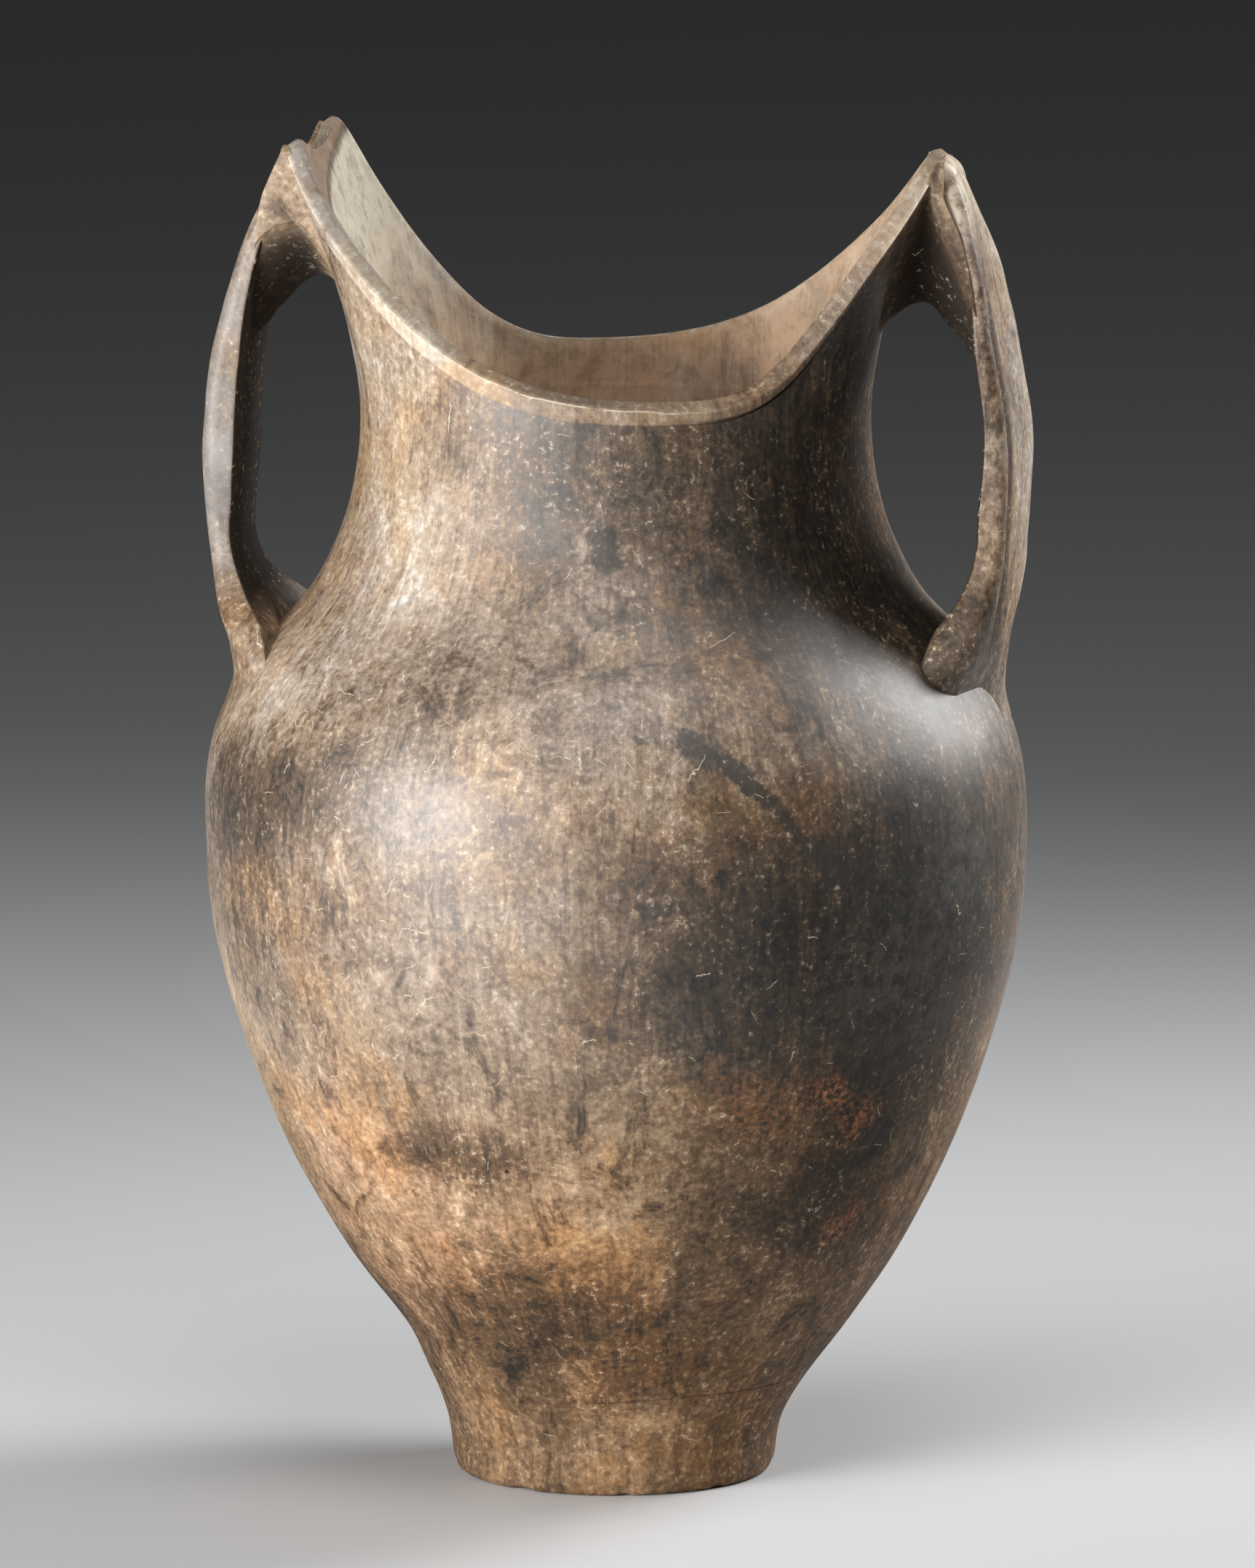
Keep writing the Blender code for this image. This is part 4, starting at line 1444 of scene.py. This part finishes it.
@dataclass
class FiredClay:
    """Recipe of the burnished, smoke-clouded clay, shared by every finish."""

    wall: WallForm
    palette: Palette = Palette()
    clouds_and_painted_light: tuple[Stain, ...] = Stain.table(
        (-34.0, 0.1700, 0.062, 0.074, -0.31), (-41.2, 0.1690, 0.040, 0.034, -0.16),
        (-26.0, 0.1900, 0.026, 0.030, -0.10), (-33.5, 0.1119, 0.030, 0.028, -0.18),
        # the next row's second stain, on the neck's right by the right handle, is dark clay and painted shade
        # of the handle
        (-45.4, 0.0872, 0.026, 0.018, -0.10), (-24.0, 0.3000, 0.044, 0.060, -0.46),
        (-45.0, 0.2820, 0.026, 0.034, -0.14), (-143.5, 0.2107, 0.024, 0.018, -0.30),
        (-125.3, 0.2178, 0.018, 0.014, -0.12), (-83.0, 0.2080, 0.020, 0.020, 0.06),
        (-67.1, 0.1658, 0.026, 0.028, -0.18), (-84.0, 0.1500, 0.024, 0.030, -0.08),
        (-28.1, 0.0200, 0.026, 0.024, -0.16), (-103.0, 0.1091, 0.016, 0.0085, -0.24, 0.8),
        (-116.0, 0.1090, 0.008, 0.0090, -0.24, 0.8), (-77.7, 0.2669, 0.006, 0.0090, -0.14, 0.8),
        (-101.0, 0.3100, 0.034, 0.024, -0.23), (-82.0, 0.3100, 0.030, 0.026, -0.05),
        # the next row's second stain pales the neck where its highlight falls: paler clay and painted
        # highlight
        (-142.0, 0.3150, 0.030, 0.034, 0.17), (-119.0, 0.2860, 0.022, 0.030, 0.19),
        (-152.0, 0.2450, 0.028, 0.020, 0.10), (-6.0, 0.2550, 0.030, 0.022, -0.26),
        (-106.0, 0.1520, 0.040, 0.026, 0.11), (-108.0, 0.2000, 0.050, 0.044, -0.14),
        (-141.0, 0.1850, 0.026, 0.036, -0.10), (-112.0, 0.0880, 0.040, 0.028, 0.15),
        (-84.0, 0.0540, 0.034, 0.018, -0.12), (-70.0, 0.0550, 0.050, 0.030, -0.07),
        (-133.0, 0.1126, 0.022, 0.022, 0.10), (-140.0, 0.0716, 0.018, 0.022, 0.12),
        (-142.0, 0.2290, 0.018, 0.013, 0.16), (70.0, 0.1900, 0.055, 0.055, -0.18),
        (128.0, 0.1200, 0.044, 0.034, 0.08), (104.0, 0.2700, 0.040, 0.024, -0.12),
        (32.0, 0.0900, 0.040, 0.032, -0.14),
    )
    brush_marks: tuple[BrushMark, ...] = (
        BrushMark((-77.0, 0.2352), (-70.0, 0.2345), 0.0013, 0.60),
        BrushMark((-69.0, 0.2345), (-66.5, 0.2310), 0.0042, 0.80),
        BrushMark((-66.0, 0.2310), (-60.0, 0.2211), 0.0030, 0.85),
        BrushMark((-60.0, 0.2211), (-54.3, 0.2080), 0.0023, 0.80),
        BrushMark((-54.3, 0.2080), (-51.0, 0.2010), 0.0021, 0.80),
        BrushMark((-49.0, 0.1990), (-47.6, 0.1950), 0.0046, 0.85),
        BrushMark((-82.6, 0.2895), (-82.0, 0.2835), 0.0042, 0.80),
        BrushMark((-75.9, 0.1873), (-73.4, 0.1875), 0.0020, 0.60),
    )
    pink_patches: tuple[Stain, ...] = Stain.table(
        (-112.8, 0.0950, 0.042, 0.026, 0.60), (-133.0, 0.1126, 0.022, 0.022, 0.55),
        (-140.0, 0.0716, 0.018, 0.022, 0.55), (-100.0, 0.0700, 0.030, 0.020, 0.45),
    )
    orange_spots: tuple[Stain, ...] = Stain.table(
        (-45.4, 0.1281, 0.0060, 0.0060, 0.60), (-38.4, 0.1205, 0.0070, 0.0060, 0.55),
        (-34.2, 0.0849, 0.0060, 0.0050, 0.60), (-58.0, 0.1250, 0.0160, 0.0100, 0.22),
        (-104.4, 0.1680, 0.0050, 0.0070, 0.25),
    )
    mossy: tuple[Stain, ...] = Stain.table(
        (-22.7, 0.1935, 0.014, 0.016, 0.60), (-36.0, 0.1650, 0.022, 0.024, 0.35),
    )
    # painted sheen: greyer clay where the highlights fall on the belly, the neck and the right shoulder
    painted_sheen_grey: tuple[Stain, ...] = Stain.table(
        (-112.0, 0.2030, 0.046, 0.060, 0.85), (-104.0, 0.2850, 0.030, 0.040, 0.50),
        (-28.0, 0.2250, 0.050, 0.036, 0.60),
    )
    dulled: tuple[Stain, ...] = Stain.table(
        (-36.0, 0.1600, 0.070, 0.052, 0.9), (-20.0, 0.3050, 0.044, 0.056, 0.9),
        (-3.0, 0.2750, 0.030, 0.040, 0.9), (-104.0, 0.3020, 0.026, 0.032, 0.5),
    )
    scratched: tuple[Stain, ...] = Stain.table(
        (-101.8, 0.2339, 0.034, 0.0055, 1.0), (-84.0, 0.2345, 0.020, 0.0050, 1.0),
        (-132.0, 0.2350, 0.022, 0.0200, 0.9), (-120.0, 0.1650, 0.030, 0.0300, 0.5),
    )

    def spot(self, angle: float, height: float) -> Point:
        """Place on the smooth wall."""
        at = self.wall.smooth_points(np.array(math.radians(angle)), np.array(height), np.array(0.0))
        return tuple(float(v) for v in at)

    def marks(self, f: ClayFields, stains: tuple[Stain, ...]) -> Wire:
        """Sum of a set of stains: each is a smooth step on the scaled distance to its place.

        Args:
            f: the material's fields.
            stains: the marks to draw.

        Returns:
            A wire that adds up the strengths.
        """
        g = f.graph
        total: Any = 0.0
        for stain in stains:
            away = g.vector("SUBTRACT", f.frayed, self.spot(stain.angle, stain.height))
            scale = (1 / stain.across, 1 / stain.across, 1 / stain.tall)
            far = g.vector("LENGTH", g.vector("MULTIPLY", away, scale), out="Value")
            total = g.ease(1.0 + stain.softness, 1.0 - stain.softness, far) * stain.strength + total
        return total

    def strokes(self, f: ClayFields) -> Wire:
        """Strongest of the brush marks: a step on the distance to the line between each two places.

        Args:
            f: the material's fields.

        Returns:
            A wire from 0 to 1.
        """
        g = f.graph
        total: Wire | None = None
        bristle = f.sweep.sway(0.008) + f.mottle.sway(0.006) + f.fleck.sway(0.004)
        for mark in self.brush_marks:
            start, end = np.array(self.spot(*mark.start)), np.array(self.spot(*mark.end))
            run = end - start
            away = g.vector("SUBTRACT", f.where, tuple(start.tolist()))
            part = g.vector("DOT_PRODUCT", away, tuple((run / (run @ run)).tolist()), out="Value")
            kept = g.node("Clamp", {}, {0: part})
            gap = g.vector("SUBTRACT", away, g.scaled(tuple(run.tolist()), kept))
            far = g.vector("LENGTH", gap, out="Value") + bristle
            mask = g.ease(mark.half_width * 1.5, mark.half_width * 0.6, far) * mark.strength
            total = mask if total is None else total.most(mask)
        return total

    def hairs(self, f: ClayFields, scale: float, width: float, share: Any) -> Wire:
        """Hair-thin scratches: in some cells of a Voronoi texture, a thin slice through the cell.

        Each cell's own colour gives the slice its direction, and a bent coordinate makes it curve.

        Args:
            f: the material's fields.
            scale: cells a metre.
            width: half the width of a scratch.
            share: share of the cells that hold one.

        Returns:
            A wire from 0 to 1.
        """
        g = f.graph
        bent = g.ripple(f.where, scale * 0.9, 0.5 / scale)
        cell = g.node("TexVoronoi", {"feature": "F1"}, {"Vector": bent, "Scale": scale}, "Position")
        away = g.vector("SUBTRACT", bent, cell)
        turned = g.vector("NORMALIZE", g.vector("SUBTRACT", cell.twin("Color"), (0.5, 0.5, 0.5)))
        gap = g.vector("DOT_PRODUCT", away, turned, out="Value").size()
        far = g.vector("LENGTH", away, out="Value")
        picked = g.math("LESS_THAN", g.node("TexWhiteNoise", {}, {"Vector": cell}, "Value"), share)
        return g.ease(width, width * 0.35, gap) * g.ease(0.50 / scale, 0.36 / scale, far) * picked

    def pits(self, f: ClayFields) -> Wire:
        """Small holes: the middle of a few Voronoi cells, picked by each cell's own colour.

        Args:
            f: the material's fields.

        Returns:
            A wire from 0 to 1.
        """
        g = f.graph
        cell = g.node("TexVoronoi", {"feature": "F1"}, {"Vector": f.where, "Scale": 75.0}, "Distance")
        pick = g.node("SeparateColor", {}, {0: cell.twin("Color")})
        return g.ease(0.055, 0.030, cell) * g.math("GREATER_THAN", pick, 0.90)

    def skin_colour(self, f: ClayFields, finish: ClayFinish, hair: Wire, pits: Wire) -> Wire:
        """Colour of the outside: one tone, made of noises and clouds, some of them painted shade and
        highlight, read off a scale of clay colours.

        Args:
            f: the material's fields.
            finish: the variant to make.
            hair: scratches.
            pits: small holes.

        Returns:
            A colour wire.
        """
        g, colours = f.graph, self.palette
        low = g.ease(0.120, 0.050, f.z)
        uneven = f.cloud.sway(0.65) + f.patch.sway(0.80) + f.mottle.sway(0.60) + f.fleck.sway(0.62)
        stroked = (g.ease(0.40, 0.62, f.tint.twin("Blue")) * 1.0 + 0.35) * (1.0 - low * 0.55)
        brushed = (f.stroke.sway(0.62) + f.sweep.sway(0.40)) * stroked
        smear = f.patch * 0.5 + f.sweep * 0.5
        smudged = g.ease(0.48, 0.38, smear) * 0.12 - g.ease(0.51, 0.62, smear) * 0.18
        smudged = smudged + g.ease(0.53, 0.68, f.scuff) * 0.20 - g.ease(0.47, 0.33, f.scuff) * 0.27
        base = g.ease(0.0, 0.05, f.x) * finish.right_tone + (0.565 + finish.tone)
        tone = (uneven + brushed + smudged) * finish.contrast + self.marks(f, self.clouds_and_painted_light)
        tone = tone + base - low * 0.15
        streaked = f.stroke.sway(0.60) + f.sweep.sway(0.60)
        tone = tone.most(f.mottle.sway(0.80) + f.fleck.sway(0.65) + streaked + 0.050)
        colour = g.node("ValToRGB", {"stops": colours.tones}, {0: tone})
        warm = g.ease(0.48, 0.62, f.tint * 0.7 + f.stroke * 0.3)
        colour = g.tinted(warm, colour, colours.warmer)
        upper = g.ease(0.110, 0.185, f.z)
        cool = g.ease(0.42, 0.58, f.tint.twin("Green") * 0.75 + f.sweep * 0.25) * 0.75 + 0.25
        # painted sheen: painted_sheen_grey greys the clay where the highlights fall
        cool = (cool * upper * finish.cool).most(self.marks(f, self.painted_sheen_grey) * finish.cool)
        colour = g.tinted(cool, colour, colours.greyer)
        colour = g.tinted(low * 0.3, colour, colours.redder)
        pink = self.marks(f, self.pink_patches) * g.ease(0.36, 0.56, f.mottle * 0.5 + f.patch * 0.5)
        colour = g.tinted(pink, colour, colours.pinker)
        spots = self.marks(f, self.orange_spots) * g.ease(0.40, 0.62, f.fleck)
        colour = g.mix(spots, colour, colours.orange)
        moss = self.marks(f, self.mossy) * g.ease(0.35, 0.60, f.mottle)
        colour = g.mix(moss, colour, colours.moss)
        grey = g.ease(0.33, 0.58, smear) * g.ease(0.0, -0.05, f.x) * g.ease(0.372, 0.340, f.z)
        grey = grey * g.ease(0.244, 0.290, f.z)
        colour = g.mix(grey * finish.ash, colour, colours.ash)
        colour = g.mix(self.strokes(f), colour, colours.soot_and_shade)
        # painted shade: the shade mark darkens the straps' inner faces and grooves, the webs' arches and
        # niche and the lip's inner edge; on the lip's top and the left cap it is darker clay
        shade = g.mark("shade")
        colour = g.mix(shade * g.ease(0.10, 0.45, f.mottle), colour, colours.grime_and_shade)
        # wear mark: pale worn edge on the lip, and painted highlight on the straps' far ridges and the right
        # cap
        wear = g.mark("wear")
        colour = g.mix(wear * g.ease(0.34, 0.54, f.mottle) * 0.85, colour, colours.cream)
        crumbs = g.ease(0.585, 0.69, f.fleck) * g.ease(0.44, 0.58, f.scuff)
        crumbs = crumbs * (g.ease(0.05, 0.35, tone) * 0.7 + 0.3)
        colour = g.mix(crumbs * (0.38 + finish.crust), colour, colours.cream)
        smuts = g.ease(0.37, 0.27, f.fleck * 0.6 + f.mottle * 0.4)
        colour = g.mix(smuts * 0.65, colour, colours.umber)
        colour = g.mix(hair * 0.65, colour, colours.cream)
        # the pits' dark middles: dark specks and painted shade in the holes
        return g.mix(pits, colour, colours.soot_and_shade)

    def lining_colour(self, f: ClayFields) -> Wire:
        """Colour of the inside: pale at the left, partly painted sheen, pink at the right, and brown lower
        down.

        The flat left end is darker above a slanting crease.

        Args:
            f: the material's fields.

        Returns:
            A colour wire.
        """
        g, colours = f.graph, self.palette
        side = g.ease(-0.045, 0.040, f.x + f.patch.sway(0.06))
        colour = g.mix(side, colours.lining_pale_and_sheen, colours.lining_pink)
        depth = g.ease(0.352, 0.318, f.z + f.patch.sway(0.05))
        colour = g.mix(depth * 0.85, colour, colours.lining_dark)
        colour = g.mix(g.ease(0.46, 0.62, f.tint) * 0.50, colour, colours.ochre)
        colour = g.mix(g.ease(0.50, 0.60, f.tint.twin("Green")) * 0.45, colour, colours.mauve)
        dirt = g.ease(0.47, 0.60, f.stroke * 0.30 + f.mottle * 0.40 + f.patch * 0.30)
        end = g.ease(-0.004, 0.0, (0.340 - f.z) * 0.29 - f.x - 0.0668)
        corner = f.z * 2.15 - f.y - 0.8268 + f.stroke.sway(0.012)
        colour = g.mix(end * g.ease(-0.003, 0.002, corner), colour, colours.lining_end)
        crease = g.ease(0.0060, 0.0010, corner.size() + f.mottle.sway(0.010)) * end
        colour = g.mix(crease * 0.7, colour, colours.umber)
        colour = g.mix(g.ease(0.50, 0.66, f.scuff) * 0.35, colour, colours.cream)
        return g.mix(dirt * 0.34 + g.ease(0.47, 0.36, f.scuff) * 0.26, colour, colours.umber)

    def make(self, finish: ClayFinish) -> bpy.types.Material:
        """Material of one slot.

        Args:
            finish: the variant to make.

        Returns:
            The material.
        """
        material = bpy.data.materials.new(finish.slot)
        material.use_nodes = True
        g = Graph(material.node_tree)
        f = ClayFields.of(g)
        inner = g.mark("inner")
        crowd = self.marks(f, self.scratched)
        long_hairs = self.hairs(f, 95.0, 0.00012, 0.022 + 0.50 * crowd)
        hair = long_hairs.most(self.hairs(f, 210.0, 0.00010, 0.05 + 0.75 * crowd))
        pits = self.pits(f)
        colour = g.mix(inner, self.skin_colour(f, finish, hair, pits), self.lining_colour(f))
        matt = g.ease(0.110, 0.040, f.z) * 0.08
        shade = g.mark("shade")
        rough = finish.roughness + matt + f.mottle.sway(0.35) + f.stroke.sway(0.25) + inner * 0.14
        dull = self.marks(f, self.dulled) + g.ease(0.150, 0.090, f.z) + inner + shade
        rough = rough + pits * 0.4 + dull * 0.28 + shade * 0.25
        height = f.stroke.sway(0.070) + f.sweep.sway(0.10) + f.fleck.sway(0.075) + f.grit.sway(0.030)
        height = (height + f.mottle.sway(0.16)) * finish.grain - pits * 0.6 - hair * 0.04
        bump = g.node("Bump", {}, {"Strength": 1.0, "Distance": 0.001, "Height": height})
        coat = g.ease(1.0, 0.0, dull) * finish.coat
        surface = {
            "Base Color": colour, "Roughness": rough, "Normal": bump, "Specular IOR Level": finish.gloss,
            "Coat Weight": coat, "Coat Roughness": finish.coat_roughness, "Coat IOR": finish.coat_ior,
        }
        shader = g.node("BsdfPrincipled", {}, surface)
        end = g.tree.nodes.new("ShaderNodeOutputMaterial")
        g.feed(end.inputs["Surface"], shader)
        return material


@dataclass(frozen=True)
class SoftLamp:
    """Rectangular soft lamp, placed by its angle from the camera towards the image's right."""

    name: str
    azimuth: float
    elevation: float
    distance: float
    size: tuple[float, float]
    watts: float
    spread: float


@dataclass(frozen=True)
class Studio:
    """Camera at the photograph's angle, soft lamps, pale floor and a quiet world."""

    azimuth: float = 10.0
    elevation: float = 9.3
    distance: float = 5.0
    aim: Point = (0.0, 0.0, 0.2)
    shift_right: float = 0.0036
    shift_up: float = 0.0044
    metres_per_pixel: float = 0.000214
    image_height: int = 2156
    floor_size: float = 30.0
    floor_colour: Colour = (0.600, 0.605, 0.612)
    floor_roughness: float = 0.55
    sensor_height: float = 36.0
    far_clip: float = 100.0
    world_level: float = 0.025
    lamps: tuple[SoftLamp, ...] = (
        SoftLamp("key_softbox", -47.0, 8.0, 1.6, (0.95, 1.00), 18.5, 110.0),
        SoftLamp("kicker_softbox", 119.0, 31.0, 1.5, (0.60, 0.90), 7.4, 90.0),
        SoftLamp("top_softbox", 10.0, 62.0, 1.6, (0.90, 0.90), 3.6, 100.0),
    )

    def heading(self, azimuth: float, elevation: float) -> Array:
        """Direction from the object, turned from the camera's azimuth towards the image's right.

        Args:
            azimuth: degrees from the camera's azimuth.
            elevation: degrees above the level.

        Returns:
            Unit vector.
        """
        turn = math.radians(self.azimuth + azimuth)
        rise = math.radians(elevation)
        return np.array([math.sin(turn) * math.cos(rise), -math.cos(turn) * math.cos(rise), math.sin(rise)])

    def build(self) -> None:
        """Add the camera, the lamps, the world and the floor."""
        bpy.context.scene.view_settings.view_transform = "Standard"
        self.add_camera()
        for lamp in self.lamps:
            self.add_lamp(lamp)
        self.add_world()
        self.add_floor()

    def add_camera(self) -> None:
        """Long lens whose frame spans the photograph's height at the vase."""
        back = self.heading(0.0, self.elevation)
        turn = math.radians(self.azimuth)
        right = np.array([math.cos(turn), math.sin(turn), 0.0])
        up = np.cross(back, right)
        target = np.array(self.aim) + self.shift_right * right + self.shift_up * up
        data = bpy.data.cameras.new("camera")
        data.sensor_fit = "VERTICAL"
        data.sensor_height = self.sensor_height
        data.lens = data.sensor_height * self.distance / (self.image_height * self.metres_per_pixel)
        data.clip_end = self.far_clip
        camera = add_object("camera", data)
        camera.location = (target + back * self.distance).tolist()
        camera.rotation_euler = (math.pi / 2 - math.radians(self.elevation), 0.0, turn)
        bpy.context.scene.camera = camera

    def add_lamp(self, lamp: SoftLamp) -> None:
        """Put up a lamp that faces the middle of the vase.

        Args:
            lamp: the lamp to put up.
        """
        data = bpy.data.lights.new(lamp.name, "AREA")
        data.shape = "RECTANGLE"
        data.size, data.size_y = lamp.size
        data.energy = lamp.watts
        data.spread = math.radians(lamp.spread)
        made = add_object(lamp.name, data)
        away = self.heading(lamp.azimuth, lamp.elevation) * lamp.distance
        made.location = (np.array(self.aim) + away).tolist()
        tip = math.pi / 2 - math.radians(lamp.elevation)
        made.rotation_euler = (tip, 0.0, math.radians(self.azimuth + lamp.azimuth))

    def add_world(self) -> None:
        """Even grey light from all round."""
        world = bpy.data.worlds.new("studio")
        world.use_nodes = True
        back = world.node_tree.nodes["Background"]
        back.inputs["Color"].default_value = (1.0, 1.0, 1.0, 1.0)
        back.inputs["Strength"].default_value = self.world_level
        bpy.context.scene.world = world

    def add_floor(self) -> None:
        """Plain pale floor under the vase."""
        half = self.floor_size / 2
        corners = [(-half, -half, 0.0), (half, -half, 0.0), (half, half, 0.0), (-half, half, 0.0)]
        mesh = bpy.data.meshes.new("floor")
        mesh.from_pydata(corners, [], [(0, 1, 2, 3)])
        floor = add_object("floor", mesh)
        material = bpy.data.materials.new("floor")
        material.use_nodes = True
        shader = material.node_tree.nodes["Principled BSDF"]
        shader.inputs["Base Color"].default_value = (*self.floor_colour, 1.0)
        shader.inputs["Roughness"].default_value = self.floor_roughness
        mesh.materials.append(material)


FINISHES = (
    ClayFinish("foot_clay", 0.46, tone=0.04, contrast=0.9, grain=1.3),
    ClayFinish("body_clay", 0.43, gloss=0.34, coat=0.95),
    ClayFinish("rim_clay", 0.46, tone=0.22, contrast=0.62, coat=0.2),
    ClayFinish("handle_clay", 0.48, tone=-0.06, right_tone=0.19, ash=0.70, crust=0.20, coat=0.2),
    ClayFinish("web_clay", 0.50, tone=0.02, right_tone=0.02, cool=0.2, coat=0.2, grain=1.4),
)
HANDLES = (
    (StrapHandle("left_handle"), HandleWeb("left_handle_web")),
    (
        StrapHandle(
            "right_handle", side=Side.RIGHT, reach=0.1206, mid_thickness=0.0078, low_thickness=0.0105,
            outer_round=0.0034, skew=0.0046, hollow=0.0014, swell=0.10, tilt=0.0008, groove_shade=0.85,
            dome=0.0064, cap_round=0.0050, cap_droop=0.0014, cap_sink=0.0009, cap_depth=0.0016,
            cap_reach=0.0040, cap_highlight_and_wear=0.8, cap_soot=0.0, root_drop=0.060, root_inset=0.0062,
            root_width=0.0740, root_inner=0.0062, root_taper=0.0, root_bend=0.86, toe_width=0.0440,
            toe_dive=0.45,
        ),
        HandleWeb(
            "right_handle_web", side=Side.RIGHT, wall_foot=(0.331, 0.352), strap_foot=(0.322, 0.349),
            apex=(0.3490, 0.3870), edge_power=1.5, half_width=0.0243, recess=-0.0004, cover=0.0, soot_and_shade=0.6,
        ),
    ),
)


def main() -> None:
    """Build every piece in order, from the foot up, and then the studio."""
    logging.basicConfig(level=logging.INFO, format="%(name)s: %(message)s")
    wall = WallForm()
    grid = GridSpec()
    clay = FiredClay(wall)
    finishes = {finish.slot: clay.make(finish) for finish in FINISHES}
    names = ("base_disc", "foot_wall", "lower_wall", "belly_wall", "shoulder_wall")
    seams = [round(float(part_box(name)[1][2]), 3) for name in names]
    crack, rise = 0.00016, 0.0034
    turned = [
        BaseDisc(),
        WallCourse("foot_wall", "foot_clay", seams[0], seams[1], crack_above=crack, rise_above=rise),
        WallCourse("lower_wall", "body_clay", seams[1], seams[2], crack_below=crack, rise_below=rise),
        WallCourse("belly_wall", "body_clay", seams[2], seams[3]),
        WallCourse("shoulder_wall", "body_clay", seams[3], seams[4]),
        Neck(joint=seams[4]),
        RimLip(),
    ]
    for piece in turned:
        piece.dress(piece.build(wall, grid), finishes)
    for strap, web in HANDLES:
        strap.dress(strap.build(wall), finishes)
        web.dress(web.build(wall, strap), finishes)
    Studio().build()


if __name__ == "__main__":
    main()
